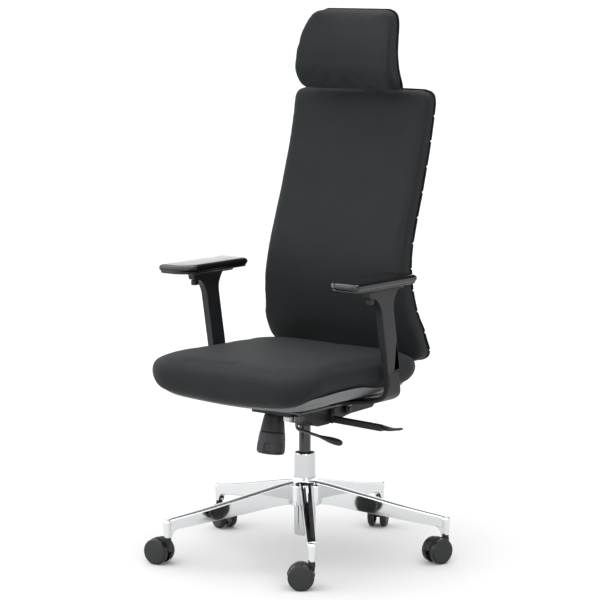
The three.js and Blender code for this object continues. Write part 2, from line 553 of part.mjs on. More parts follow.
// The pan's thin wall and its four feet on the plate are what the cushion leaves of a deeper dish.
function seatPan() {
  const blank = mappedBox(GRID, GRID, 1, (u, v, w) => {
    const [x, y] = cornered(u, v, SEAT_HALF_WIDTH - PAN_INSET, SEAT_HALF_DEPTH - PAN_INSET,
      SEAT_CORNER - PAN_INSET);
    return [x, y + SEAT_MIDDLE, dish(u, v) + (w > 0 ? PAN_THICK + 3 : 0)];
  });
  const feet = [-1, 1].flatMap((x) => [-1, 1].map((y) => cylinder(9, 44, 12).rotateX(Math.PI / 2)
    .translate(x * 84, y * 118, PLATE_BOTTOM + PLATE_THICK + GAP + 22)));
  return cut(join(blank, ...feet), seatCushion().translate(0, 0, -GAP));
}
piece('seat_pan', seatPan(), GREY_PLASTIC);

// ---- armrests -----------------------------------------------------------------------------
// The bracket's middle line, x y z: under the dished pan, round the bend and up along the lean.
const armUp = (rise) => [ARM_FOOT[0], ARM_FOOT[1] - rise * Math.tan(radians(ARM_LEAN)), ARM_FOOT[2] + rise];
const ARM_BAR = new THREE.CatmullRomCurve3([[112, 14, 372.5], [150, 12, 376], [200, 6, 384.5], [235, 0, 394],
  [253, -4, 404], armUp(-38), armUp(-18), armUp(4)].map((point) => new THREE.Vector3(...point)));

const TRIGGER_Y = -92;

function armSide(side) {
  const name = side > 0 ? 'left' : 'right';
  const lean = new THREE.Group(); // Z runs up the leaning upright, from the sleeve's lower seam
  lean.position.set(side * ARM_FOOT[0], ARM_FOOT[1], ARM_FOOT[2]);
  lean.rotation.set(radians(ARM_LEAN), 0, 0);
  lean.updateMatrix();

  // bracket: a flat bar from under the seat, bent up outside the cushion into the sleeve's post
  const post = roundedBar(POST_THICK, POST_DEPTH, 3, -20, 118).applyMatrix4(lean.matrix);
  const bar = mappedBox(1, 1, 18, (u, v, w) => {
    const t = (w + 1) / 2;
    const centre = ARM_BAR.getPoint(t);
    const tangent = ARM_BAR.getTangent(t);
    const rising = THREE.MathUtils.smoothstep(t, 0.6, 0.85);
    const narrowing = THREE.MathUtils.smoothstep(t, 0.1, 0.6);
    const halfThick = THREE.MathUtils.lerp(5, SLEEVE_THICK / 2 - 0.8, rising);
    const halfWidth = THREE.MathUtils.lerp(30, SLEEVE_DEPTH / 2 - 1, narrowing);
    const x = centre.x + u * halfThick * tangent.z;
    return [side * x, centre.y + side * v * halfWidth, centre.z - u * halfThick * tangent.x];
  });
  const top = new THREE.BoxGeometry(60, 80, 60).translate(0, 0, 30 - GAP).applyMatrix4(lean.matrix);
  const fixed = new THREE.BoxGeometry(40, 56, 5);
  fixed.translate(side * 102, 14, PLATE_BOTTOM + PLATE_THICK + GAP + 2.5);
  piece(`arm_bracket_${name}`, join(cut(bar, top), post, fixed), CAST_BLACK);

  // sleeve: a hollow upright that slides on the post, flaring into a T under the pad
  const length = 192;
  const half = SLEEVE_DEPTH / 2;
  const flare = [[-half, 0], [half, 0], [half, 150], [half + 4, 166], [half + 16, 180], [half + 34, length - 4],
    [half + 36, length + 20], [-half - 40, length + 20], [-half - 38, length - 5], [-half - 12, 180],
    [-half - 3, 168], [-half, 150]];
  const skin = sidePlate(flare, -SLEEVE_THICK / 2, SLEEVE_THICK / 2);
  const bore = new THREE.BoxGeometry(POST_THICK + 2 * GAP, POST_DEPTH + 2 * GAP, 2 * (length - 12));
  const sleeve = cut(skin, bore).applyMatrix4(lean.matrix);
  const level = new THREE.BoxGeometry(200, 400, 60).translate(side * ARM_FOOT[0], -60, SLEEVE_TOP + 30);
  const triggerWell = new THREE.BoxGeometry(7, 9, 30).translate(side * ARM_FOOT[0], TRIGGER_Y, 634); // open below
  piece(`arm_sleeve_${name}`, cut(sleeve, level, triggerWell), CAST_BLACK);

  const button = roundedBar(12, 16, 3, 618, 630).translate(side * ARM_FOOT[0], TRIGGER_Y, 0);
  const key = new THREE.BoxGeometry(6, 8, 20).translate(side * ARM_FOOT[0], TRIGGER_Y, 635);
  piece(`arm_trigger_${name}`, join(button, key), NYLON);

  const base = roundedBar(58, 150, 20, SLEEVE_TOP + GAP, PAD_BOTTOM - GAP);
  base.translate(side * (PAD_CENTRE[0] + 4), -58, 0);
  piece(`arm_pad_base_${name}`, base, NYLON);
  const pad = mappedBox(6, 8, 4, (u, v, w) => {
    const bulge = 1 - 0.1 * w * w * (w > 0 ? 1.3 : 1);
    const [x, y] = cornered(u, v, (PAD_WIDTH / 2) * bulge, (PAD_LENGTH / 2) * (1 - (1 - bulge) * 0.4), 24);
    const z = (PAD_BOTTOM + PAD_TOP) / 2 + w * (PAD_TOP - PAD_BOTTOM) / 2;
    return [side * PAD_CENTRE[0] + x, PAD_CENTRE[1] + y, z];
  });
  piece(`arm_pad_${name}`, pad, SOFT_PAD);
}

armSide(1);
armSide(-1);

// ---- backrest -----------------------------------------------------------------------------
const BACK_ROWS = BACK_HALF.map((row) => row[0]);

// Rows of a panel stand at the heights of its width table; its depth follows the mid line.
function panel(rows, half, line, nu, nw, depthOf) {
  const count = rows.length - 1;
  return mappedBox(nu, nw, count, (u, v, w) => {
    const z = rows[Math.round(((w + 1) / 2) * count)];
    const x = u * along(half, z);
    return [x, along(line, z) + depthOf(u, v, z), z];
  });
}
const BACK_WRAP = 12; // how far the panel's middle stands back from its side edges
const wrap = (u) => BACK_WRAP * (1 - u * u);

// The cushion's rear face is flat against the shell; its front is crowned towards every edge.
function crown(z, bottom, top, reach) {
  const edge = Math.min(z - bottom, top - z);
  return THREE.MathUtils.clamp(edge / reach, 0, 1) ** 0.5;
}

// A padded panel: the cushion, and the shell cut to fit behind it with a small gap.
function paddedPanel(rows, half, line, thick, shellThick, wrapOf) {
  const seam = thick / 2 - shellThick;
  const full = thick - shellThick;
  const [bottom, top] = [rows[0], rows[rows.length - 1]];
  const cushion = () => panel(rows, half, line, 8, 1, (u, v, z) => {
    const padding = full * (0.5 + 0.5 * crown(z, bottom, top, 24) * (1 - u ** 6));
    return wrapOf(u) + (v > 0 ? seam : seam - padding);
  });
  const blank = panel(rows, half, line, 8, 1, (u, v) => wrapOf(u) + (v > 0 ? thick / 2 : seam - 2));
  return { cushion: cushion(), shell: cut(blank, cushion().translate(0, GAP, 0)) };
}
const back = paddedPanel(BACK_ROWS, BACK_HALF, BACK_LINE, BACK_THICK, SHELL_THICK, wrap);

// A keeper behind the shell's top guides the headrest's stem along the shell's slope.
const shellRear = (z) => along(BACK_LINE, z) + BACK_WRAP + BACK_THICK / 2;
const HEAD_LEAN = 10.6; // degrees the stem leans back
const STEM_HEIGHT = 1040;
const STEM_STAND_OFF = 5.5; // the stem's middle plane behind the shell
function onStem(geometry) {
  return geometry.rotateX(-radians(HEAD_LEAN)).translate(0, shellRear(STEM_HEIGHT) + STEM_STAND_OFF, STEM_HEIGHT);
}
const STEM_HALF_WIDTH = 32;
const STEM_HALF_THICK = 4;
function backShell() {
  const keeper = onStem(roundedBar(84, 26, 6, -72, -8).translate(0, -4, 0));
  const slot = onStem(new THREE.BoxGeometry(2 * (STEM_HALF_WIDTH + GAP), 2 * (STEM_HALF_THICK + GAP), 400));
  return cut(join(back.shell, keeper), slot, back.cushion.clone().translate(0, GAP, 0));
}
piece('back_shell', backShell(), NYLON);
piece('back_cushion', back.cushion, FABRIC);

// yoke: a forked arm from the rear pivot, back under the seat and up behind the shell
const YOKE_HALF_THICK = 10;
const YOKE_TOP = 640;
const YOKE_LINE = new THREE.CatmullRomCurve3([[160, 341], [196, 344], [226, 362], [239, 395], [238, 435],
  ...[480, 520, 560, 600, YOKE_TOP].map((z) => [shellRear(z) + YOKE_HALF_THICK + 1, z])]
  .map(([y, z]) => new THREE.Vector3(0, y, z)));

function backYoke() {
  const [py, pz] = REAR_PIVOT;
  const cheekLine = [[py - 12, pz - 7], [py - 7, pz - 12], [py + 8, pz - 12], [180, 329], [186, 351], [172, 352],
    [py + 4, pz + 12], [py - 8, pz + 10], [py - 12, pz + 5]];
  const cheeks = [sidePlate(cheekLine, CHEEK_INSIDE, CHEEK_OUTSIDE),
    sidePlate(cheekLine, -CHEEK_OUTSIDE, -CHEEK_INSIDE)];
  const stalk = mappedBox(2, 1, 14, (u, v, w) => {
    const t = (w + 1) / 2;
    const centre = YOKE_LINE.getPoint(t);
    const tangent = YOKE_LINE.getTangent(t);
    const halfWidth = THREE.MathUtils.lerp(CHEEK_OUTSIDE, 42, THREE.MathUtils.smoothstep(t, 0.1, 0.7));
    const out = v * YOKE_HALF_THICK * (v > 0 ? 1 - 0.3 * u * u : 1);
    return [u * halfWidth, centre.y + out * tangent.z, centre.z - out * tangent.y];
  });
  const clear = new THREE.BoxGeometry(2 * HOUSING_HALF_WIDTH + 3, 60, 60).translate(0, 138, 340);
  const pivot = cylinder(PIVOT_RADIUS + GAP, 200, 12).rotateZ(Math.PI / 2).translate(0, ...REAR_PIVOT);
  return cut(join(stalk, ...cheeks), clear, pivot, back.shell.clone().translate(0, GAP, 0));
}
piece('back_yoke', backYoke(), CAST_BLACK);

// ---- headrest -----------------------------------------------------------------------------
const HEAD_ROWS = HEAD_HALF.map((row) => row[0]);
const HEAD_SHELL = 12;
const HEAD_WRAP = 14;
const headWrap = (u) => HEAD_WRAP * (1 - u * u);
const head = paddedPanel(HEAD_ROWS, HEAD_HALF, HEAD_LINE, HEAD_THICK, HEAD_SHELL, headWrap);
const HINGE_LOCAL = [-68, 100]; // y, z of the headrest's hinge in the leaning frame of the stem
const KNUCKLE_RADIUS = 8;
const KNUCKLE_HALF = 20;
const HINGE_STUB = 3.5;

// The headrest's shell carries two lugs, whose stubs turn in the bracket's knuckle.
function headrestShell() {
  const lugs = [-1, 1].map((side) => {
    const plate = new THREE.BoxGeometry(6, 34, 15).translate(0, -13, 0);
    const eye = cylinder(7.5, 6, 16).rotateZ(Math.PI / 2);
    const stub = cylinder(HINGE_STUB, 8, 12).rotateZ(Math.PI / 2).translate(-side * 6, 0, 0);
    const lug = join(eye, plate, stub).translate(side * (KNUCKLE_HALF + GAP + 3), ...HINGE_LOCAL);
    return onStem(lug);
  });
  return cut(join(head.shell, ...lugs), head.cushion.clone().translate(0, GAP, 0));
}
piece('headrest_shell', headrestShell(), NYLON);
piece('headrest_cushion', head.cushion, FABRIC);

// bracket: a flat stem that slides up behind the back shell and hooks forward to the headrest
function headrestBracket() {
  const hook = sidePlate([[-STEM_HALF_THICK, -95], [STEM_HALF_THICK, -95], [STEM_HALF_THICK, 66], [-6, 88],
    [-30, 104], [-66, 106], [-66, 95], [-34, 93], [-14, 81], [-STEM_HALF_THICK, 64]],
  -STEM_HALF_WIDTH, STEM_HALF_WIDTH);
  const knuckle = cylinder(KNUCKLE_RADIUS, 2 * KNUCKLE_HALF, 16).rotateZ(Math.PI / 2);
  knuckle.translate(0, ...HINGE_LOCAL);
  const clear = [-1, 1].map((side) => new THREE.BoxGeometry(40, 40, 60)
    .translate(side * (KNUCKLE_HALF + 20), HINGE_LOCAL[0], HINGE_LOCAL[1]));
  const bore = cylinder(HINGE_STUB + GAP, 100, 12).rotateZ(Math.PI / 2).translate(0, ...HINGE_LOCAL);
  return onStem(cut(join(hook, knuckle), ...clear, bore));
}
piece('headrest_bracket', headrestBracket(), CAST_BLACK);

export default chair;
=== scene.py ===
"""Looks of a swivel office chair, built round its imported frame.

All places are in metres in the frame's own axes: +Z up, the sitter faces -Y. Sizes of pieces are
written in millimetres from the swivel axis and turned to metres by `at`.
"""

import math

import bmesh
import bpy
from mathutils import Matrix, Vector
from mathutils.bvhtree import BVHTree


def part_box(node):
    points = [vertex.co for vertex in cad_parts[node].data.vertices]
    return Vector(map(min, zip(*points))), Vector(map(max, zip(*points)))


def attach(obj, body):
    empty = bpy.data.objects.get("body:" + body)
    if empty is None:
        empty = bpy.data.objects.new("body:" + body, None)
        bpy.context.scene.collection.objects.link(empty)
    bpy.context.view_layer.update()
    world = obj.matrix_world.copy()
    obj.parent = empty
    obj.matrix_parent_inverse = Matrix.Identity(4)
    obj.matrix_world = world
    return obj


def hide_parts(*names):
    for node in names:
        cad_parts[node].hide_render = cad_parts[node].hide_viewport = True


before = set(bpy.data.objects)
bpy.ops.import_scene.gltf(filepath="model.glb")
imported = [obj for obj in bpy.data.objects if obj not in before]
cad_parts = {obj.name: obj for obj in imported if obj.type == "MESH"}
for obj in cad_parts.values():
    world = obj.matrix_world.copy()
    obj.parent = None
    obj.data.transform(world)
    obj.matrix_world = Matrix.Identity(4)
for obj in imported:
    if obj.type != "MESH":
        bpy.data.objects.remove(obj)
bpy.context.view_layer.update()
scene = bpy.context.scene

# ---- places ---------------------------------------------------------------------------------
_low, _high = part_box("gas_cylinder")
AXIS_X = (_low[0] + _high[0]) / 2
AXIS_Y = (_low[1] + _high[1]) / 2
MM = 0.001


def at(x, y, z):
    """A place given in millimetres from the swivel axis, in metres in the frame."""
    return Vector((AXIS_X + x * MM, AXIS_Y + y * MM, z * MM))


def lerp(a, b, t):
    return a + (b - a) * t


def clamp01(t):
    return min(1.0, max(0.0, t))


def ease(x, low, high):
    t = clamp01((x - low) / (high - low))
    return t * t * (3 - 2 * t)


def curve_through(table):
    """A smooth function through (height, value) rows that doesn't overshoot between them."""
    xs = [row[0] for row in table]
    ys = [row[1] for row in table]
    steps = [(ys[k + 1] - ys[k]) / (xs[k + 1] - xs[k]) for k in range(len(xs) - 1)]
    slopes = [steps[0]]
    for before, after in zip(steps, steps[1:]):
        slopes.append(0.0 if before * after <= 0 else 2 * before * after / (before + after))
    slopes.append(steps[-1])

    def value(x):
        x = min(max(x, xs[0]), xs[-1])
        k = next((i for i in range(len(xs) - 1) if x <= xs[i + 1]), len(xs) - 2)
        width = xs[k + 1] - xs[k]
        t = (x - xs[k]) / width
        a, b, c, d = 2 * t**3 - 3 * t**2 + 1, t**3 - 2 * t**2 + t, 3 * t**2 - 2 * t**3, t**3 - t**2
        return a * ys[k] + b * width * slopes[k] + c * ys[k + 1] + d * width * slopes[k + 1]

    return value


def path_through(points, steps):
    """Points along a smooth curve through the given points, with their directions."""
    count = len(points) - 1
    made = []
    for k in range(steps + 1):
        s = k / steps * count
        i = min(int(s), count - 1)
        t = s - i
        p0 = points[i - 1] if i else points[0] * 2 - points[1]
        p1, p2 = points[i], points[i + 1]
        p3 = points[i + 2] if i + 2 <= count else points[-1] * 2 - points[-2]
        place = 0.5 * (2 * p1 + (p2 - p0) * t + (2 * p0 - 5 * p1 + 4 * p2 - p3) * t * t
                       + (3 * p1 - p0 - 3 * p2 + p3) * t**3)
        way = 0.5 * ((p2 - p0) + 2 * (2 * p0 - 5 * p1 + 4 * p2 - p3) * t
                     + 3 * (3 * p1 - p0 - 3 * p2 + p3) * t * t)
        made.append((place, way.normalized()))
    return made


# ---- materials ------------------------------------------------------------------------------
def linear(code):
    """A #rrggbb colour as linear RGBA."""
    parts = [int(code[k:k + 2], 16) / 255 for k in (1, 3, 5)]
    return tuple(c / 12.92 if c <= 0.04045 else ((c + 0.055) / 1.055) ** 2.4 for c in parts) + (1.0,)


def node(tree, kind, links=(), **settings):
    """Adds a node. Settings name its inputs by socket name or number, or its properties;
    links are (its input, other node, other node's output)."""
    made = tree.nodes.new(kind)
    for key, value in settings.items():
        key = key.replace("_", " ") if key.replace("_", " ") in made.inputs else key
        if key in made.inputs:
            made.inputs[key].default_value = value
        else:
            setattr(made, key, value)
    for own, other, output in links:
        tree.links.new(other.outputs[output], made.inputs[own])
    return made


def surface(name, colour, **shader):
    """A material with its Principled shader and the tree to add to."""
    material = bpy.data.materials.new(name)
    material.use_nodes = True
    tree = material.node_tree
    bsdf = tree.nodes["Principled BSDF"]
    bsdf.inputs["Base Color"].default_value = linear(colour)
    for key, value in shader.items():
        bsdf.inputs[key.replace("_", " ")].default_value = value
    return material, tree, bsdf


def grained(name, colour, deeper, grain_mm, depth_mm, rough=(0.4, 0.55), patch_mm=40, **shader):
    """A moulded or coated surface: a fine grain in the relief, soft patches in colour and gloss."""
    material, tree, bsdf = surface(name, colour, **shader)
    place = node(tree, "ShaderNodeTexCoord")
    fine = node(tree, "ShaderNodeTexNoise", [("Vector", place, "Object")], Scale=1 / (grain_mm * MM),
                Detail=3.0, Roughness=0.6)
    broad = node(tree, "ShaderNodeTexNoise", [("Vector", place, "Object")], Scale=1 / (patch_mm * MM),
                 Detail=4.0, Roughness=0.55)
    tint = node(tree, "ShaderNodeMix", [(0, broad, "Fac")], data_type="RGBA")
    tint.inputs["A"].default_value = linear(deeper)
    tint.inputs["B"].default_value = linear(colour)
    tree.links.new(tint.outputs["Result"], bsdf.inputs["Base Color"])
    gloss = node(tree, "ShaderNodeMapRange", [("Value", broad, "Fac")])
    for key, value in zip(("From Min", "From Max", "To Min", "To Max"), (0.3, 0.7, *rough)):
        gloss.inputs[key].default_value = value
    tree.links.new(gloss.outputs["Result"], bsdf.inputs["Roughness"])
    relief = node(tree, "ShaderNodeBump", [("Height", fine, "Fac")], Strength=0.5, Distance=depth_mm * MM)
    tree.links.new(relief.outputs["Normal"], bsdf.inputs["Normal"])
    return material


def polished(name, colour, rough, wave_mm, depth_mm):
    """Polished or plated metal: a slow waviness in the relief and a fine haze in the gloss."""
    material, tree, bsdf = surface(name, colour, Metallic=1.0, Roughness=rough)
    place = node(tree, "ShaderNodeTexCoord")
    wave = node(tree, "ShaderNodeTexNoise", [("Vector", place, "Object")], Scale=1 / (wave_mm * MM),
                Detail=1.0)
    haze = node(tree, "ShaderNodeTexNoise", [("Vector", place, "Object")], Scale=1 / (6 * MM), Detail=4.0)
    gloss = node(tree, "ShaderNodeMapRange", [("Value", haze, "Fac")])
    for key, value in zip(("From Min", "From Max", "To Min", "To Max"),
                          (0.3, 0.75, rough * 0.7, rough * 1.6)):
        gloss.inputs[key].default_value = value
    tree.links.new(gloss.outputs["Result"], bsdf.inputs["Roughness"])
    relief = node(tree, "ShaderNodeBump", [("Height", wave, "Fac")], Strength=0.35, Distance=depth_mm * MM)
    tree.links.new(relief.outputs["Normal"], bsdf.inputs["Normal"])
    return material


# Woven polyester, charcoal: a close plain weave with a soft bloom of fibre at glancing angles.
# The thread spacing is 0.9 mm; it is drawn at 1.3 mm so that it shows close up.
THREAD = 1.3 * MM


def woven(name, colour, deeper, sheen):
    """Plain-woven cloth: two crossing sets of threads, broad and fine spots of tone."""
    material, tree, bsdf = surface(name, colour, Roughness=0.66, Sheen_Weight=sheen, Sheen_Roughness=0.45)
    bsdf.inputs["Specular IOR Level"].default_value = 0.16
    cloth = node(tree, "ShaderNodeUVMap", uv_map="cloth")
    place = node(tree, "ShaderNodeTexCoord")
    bands = []
    for turn in (0.0, math.pi / 2):
        way = node(tree, "ShaderNodeMapping", [("Vector", cloth, "UV")], Rotation=(0, 0, turn),
                   Scale=(1 / THREAD,) * 3)
        bands.append(node(tree, "ShaderNodeTexWave", [("Vector", way, "Vector")], Scale=math.pi / 20 * 2,
                          Distortion=0.4, Detail=1.0))
    over = node(tree, "ShaderNodeTexChecker", [("Vector", cloth, "UV")], Scale=1 / THREAD)
    weave = node(tree, "ShaderNodeMix", [(0, over, "Fac"), ("A", bands[0], "Fac"), ("B", bands[1], "Fac")])
    broad = node(tree, "ShaderNodeTexNoise", [("Vector", place, "Object")], Scale=1 / (70 * MM), Detail=3.0)
    fuzz = node(tree, "ShaderNodeTexNoise", [("Vector", place, "Object")], Scale=1 / (2.2 * MM), Detail=3.0)
    spot = node(tree, "ShaderNodeMath", [(0, broad, "Fac"), (1, fuzz, "Fac")], operation="MULTIPLY")
    spread = node(tree, "ShaderNodeMapRange", [("Value", spot, "Value")])
    for key, value in zip(("From Min", "From Max", "To Min", "To Max"), (0.12, 0.42, 0.0, 1.0)):
        spread.inputs[key].default_value = value
    tint = node(tree, "ShaderNodeMix", [(0, spread, "Result")], data_type="RGBA")
    tint.inputs["A"].default_value = linear(deeper)
    tint.inputs["B"].default_value = linear(colour)
    tree.links.new(tint.outputs["Result"], bsdf.inputs["Base Color"])
    relief = node(tree, "ShaderNodeBump", [("Height", weave, "Result")], Strength=0.45, Distance=0.25 * MM)
    tree.links.new(relief.outputs["Normal"], bsdf.inputs["Normal"])
    return material


# Die-cast aluminium, ground and polished: a mirror with the faint waviness that buffing leaves.
ALUMINIUM = polished("polished_cast_aluminium", "#dddfe0", 0.05, 60, 0.6)
# Chromed steel tube: harder and flatter than the casting, so its reflections stay sharp.
CHROME = polished("chromed_steel_tube", "#c3c5c7", 0.03, 90, 0.2)
# Zinc-plated and ground steel: grey, with a fine haze.
BRIGHT_STEEL = polished("zinc_plated_steel", "#b6b9bb", 0.22, 20, 0.2)
# Enamelled steel tube of the lift: near black, smooth and glossy, so it shows long highlights.
BLACK_STEEL = grained("black_enamelled_steel", "#111214", "#0c0d0e", 1.2, 0.01, rough=(0.2, 0.3),
                      Coat_Weight=0.4, Coat_Roughness=0.12)
# Powder coat on castings: a very fine orange peel that spreads the highlights.
POWDER_BLACK = grained("black_powder_coat", "#151617", "#101112", 1.1, 0.05, rough=(0.4, 0.52),
                       Specular_IOR_Level=0.3)
# Glass-filled nylon, moulded in a spark-eroded tool: matt with a fine grain.
NYLON = grained("moulded_black_nylon", "#191a1c", "#131415", 0.9, 0.05, rough=(0.42, 0.56),
                Specular_IOR_Level=0.3)
# The arm uprights' nylon is a little lighter and smoother, so their chamfers catch the light.
ARM_NYLON = grained("smooth_black_nylon", "#1e1f21", "#191a1c", 0.9, 0.03, rough=(0.36, 0.46),
                    Specular_IOR_Level=0.3)
# Grey polypropylene of the seat pan: dull and slightly waxy.
GREY_PP = grained("grey_polypropylene", "#66686a", "#4b4d4f", 1.4, 0.05, rough=(0.45, 0.6))
# The knob's grip is a softer, greyer nylon than its cup.
GRIP_NYLON = grained("grey_black_grip_nylon", "#2b2c2e", "#242527", 0.9, 0.05, rough=(0.45, 0.58),
                     Specular_IOR_Level=0.3)
# Black zinc on the pivot axles: a dark metal with a worn sheen.
BLACK_ZINC = polished("black_zinc_steel", "#3f4142", 0.3, 15, 0.2)
# Castor discs: matt moulded nylon.
CASTOR_DISC = grained("castor_disc_nylon", "#222324", "#1c1d1e", 1.0, 0.05, rough=(0.45, 0.58),
                      Specular_IOR_Level=0.3)
# Castor treads: polyurethane, smooth from rolling.
TREAD = grained("polyurethane_tread", "#1b1c1d", "#141516", 1.5, 0.02, rough=(0.2, 0.34),
                Specular_IOR_Level=0.3)
# Self-skinned polyurethane foam of the arm pads: a leathery grain under a glossy skin.
PAD_SKIN = grained("self_skinned_polyurethane", "#0e0f10", "#0b0c0c", 1.6, 0.02, rough=(0.12, 0.2))
FABRIC = woven("woven_charcoal_polyester", "#171b1d", "#121516", 0.04)
# Sewing thread, a little darker than the cloth.
THREAD_DARK = grained("polyester_thread", "#1d2022", "#181a1c", 0.8, 0.05, rough=(0.6, 0.8))


# ---- mesh helpers ---------------------------------------------------------------------------
def solid(name, parts, material, sharp=32, weld=2e-5):
    """One object from closed shells given as (points, faces); doubles merged, faces turned out."""
    mesh = bpy.data.meshes.new(name)
    points, faces = [], []
    for shell_points, shell_faces in parts:
        base = len(points)
        points += [tuple(p) for p in shell_points]
        faces += [tuple(base + k for k in face) for face in shell_faces]
    mesh.from_pydata(points, [], faces)
    bm = bmesh.new()
    bm.from_mesh(mesh)
    bmesh.ops.remove_doubles(bm, verts=bm.verts, dist=weld)
    bmesh.ops.dissolve_degenerate(bm, edges=bm.edges, dist=1e-6)
    bmesh.ops.recalc_face_normals(bm, faces=bm.faces)
    bm.to_mesh(mesh)
    bm.free()
    made = placed(name, mesh, material, sharp)
    return calmed(made) if sharp < 180 else made


def placed(name, mesh, material, sharp=32):
    mesh.name = name
    for polygon in mesh.polygons:
        polygon.use_smooth = True
    mesh.set_sharp_from_angle(angle=math.radians(sharp))
    mesh.materials.clear()
    mesh.materials.append(material)
    made = bpy.data.objects.new(name, mesh)
    scene.collection.objects.link(made)
    return made


def calmed(thing):
    """Lets large flat faces keep their own shading next to rounded edges."""
    step = thing.modifiers.new("calm", "WEIGHTED_NORMAL")
    step.keep_sharp = True
    step.weight = 100
    return baked(thing)


def baked(thing):
    """Applies an object's modifiers to its mesh."""
    shown = thing.evaluated_get(bpy.context.evaluated_depsgraph_get())
    mesh = bpy.data.meshes.new_from_object(shown)
    thing.modifiers.clear()
    thing.data = mesh
    return thing


def bevelled(thing, width_mm, segments=2, angle=30):
    """Rounds every edge sharper than the angle."""
    edge = thing.modifiers.new("edge", "BEVEL")
    edge.width = width_mm * MM
    edge.segments = segments
    edge.limit_method = "ANGLE"
    edge.angle_limit = math.radians(angle)
    edge.use_clamp_overlap = True
    edge.harden_normals = False
    baked(thing)
    thing.data.set_sharp_from_angle(angle=math.radians(40))
    return calmed(thing)


def refined(name, source, material, width_mm, segments=2, flat=1.5):
    """A copy of a frame node with its loose triangles merged and its edges rounded."""
    bm = bmesh.new()
    bm.from_mesh(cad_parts[source].data)
    bmesh.ops.remove_doubles(bm, verts=bm.verts, dist=2e-5)
    bmesh.ops.dissolve_limit(bm, angle_limit=math.radians(flat), verts=bm.verts, edges=bm.edges)
    mesh = bpy.data.meshes.new(name)
    bm.to_mesh(mesh)
    bm.free()
    return bevelled(placed(name, mesh, material), width_mm, segments)


def lathe(profile, sides=64, move=None):
    """A turned shell about Z from (radius, height) points in millimetres, closed on itself or on the axis."""
    points, faces = [], []
    for radius, height in profile:
        for k in range(sides):
            angle = 2 * math.pi * k / sides
            points.append(Vector((radius * math.cos(angle), radius * math.sin(angle), height)))
    rings = len(profile)
    closed = profile[0][0] > 1e-6
    for j in range(rings if closed else rings - 1):
        for k in range(sides):
            a, b = j * sides, ((j + 1) % rings) * sides
            faces.append((a + k, a + (k + 1) % sides, b + (k + 1) % sides, b + k))
    if move:
        points = [move(p) for p in points]
    return points, faces


def loft(rows, cap=True):
    """A closed shell through loops of equal length."""
    count = len(rows[0])
    points = [p for row in rows for p in row]
    faces = []
    for j in range(len(rows) - 1):
        for k in range(count):
            a, b = j * count, (j + 1) * count
            faces.append((a + k, a + (k + 1) % count, b + (k + 1) % count, b + k))
    if cap:
        faces.append(tuple(range(count)))
        faces.append(tuple(range((len(rows) - 1) * count, len(rows) * count)))
    return points, faces


def rounded_outline(corners, radius, steps=5):
    """A flat outline with its corners rounded; a corner is (a, b) or (a, b, its own radius)."""
    made = []
    count = len(corners)
    for k in range(count):
        here = Vector(corners[k][:2])
        before = Vector(corners[k - 1][:2]) - here
        after = Vector(corners[(k + 1) % count][:2]) - here
        reach = corners[k][2] if len(corners[k]) > 2 else radius
        start = here + before.normalized() * min(reach, before.length * 0.48)
        end = here + after.normalized() * min(reach, after.length * 0.48)
        for j in range(steps + 1):
            t = j / steps
            made.append(start * (1 - t) ** 2 + here * 2 * t * (1 - t) + end * t * t)
    return made


def slab(outline, low, high, place, edge=1.5, segments=3):
    """A plate of a flat outline between two depths with rounded rims; place(a, b, depth) gives its point.
    All in millimetres."""
    area = sum(p.x * q.y - q.x * p.y for p, q in zip(outline, outline[1:] + outline[:1]))
    turn = 1 if area > 0 else -1
    count = len(outline)
    inward = []
    for k in range(count):
        way = outline[(k + 1) % count] - outline[k - 1]
        inward.append(Vector((-way.y, way.x)).normalized() * turn)
    rows = []
    for j in range(segments + 1):
        angle = math.pi / 2 * j / segments
        inset, rise = edge * (1 - math.sin(angle)), edge * (1 - math.cos(angle))
        rows.append([place(p.x + n.x * inset, p.y + n.y * inset, low + rise)
                     for p, n in zip(outline, inward)])
    for j in range(segments + 1):
        angle = math.pi / 2 * (segments - j) / segments
        inset, rise = edge * (1 - math.sin(angle)), edge * (1 - math.cos(angle))
        rows.append([place(p.x + n.x * inset, p.y + n.y * inset, high - rise)
                     for p, n in zip(outline, inward)])
    return loft(rows)


def tube_along(points, radius_at, sides=20):
    """A round bar along a path of points in metres; radius_at(0..1) in millimetres."""
    rows = []
    lengths = [0.0]
    for p, q in zip(points, points[1:]):
        lengths.append(lengths[-1] + (q - p).length)
    side = None
    for k, p in enumerate(points):
        way = (points[min(k + 1, len(points) - 1)] - points[max(k - 1, 0)]).normalized()
        side = way.orthogonal() if side is None else side - way * side.dot(way)
        side.normalize()
        other = way.cross(side)
        r = radius_at(lengths[k] / lengths[-1]) * MM
        rows.append([p + (side * math.cos(a) + other * math.sin(a)) * r
                     for a in (2 * math.pi * j / sides for j in range(sides))])
    return loft(rows)


def show(thing, body, slot, *nodes):
    """The piece rides on a body and stands for frame nodes, which are hidden; its slot is not used."""
    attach(thing, body)
    if nodes:
        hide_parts(*nodes)
    return thing


# ---- star base ------------------------------------------------------------------------------
FIRST_LEG = 23.1  # degrees from +X
LEGS = 5
TIP_AT = 338.0  # mm, the castor stems' circle
LEG_TOP = curve_through([(20, 172.5), (38, 170), (120, 152), (240, 124.5), (350, 103)])
LEG_BOTTOM = curve_through([(20, 119), (38, 119.5), (150, 106), (250, 92), (350, 79)])
LEG_WIDTH = curve_through([(20, 29), (38, 28), (200, 24), (350, 20)])
LEG_DRAFT = 0.035  # how much a side leans in towards its foot


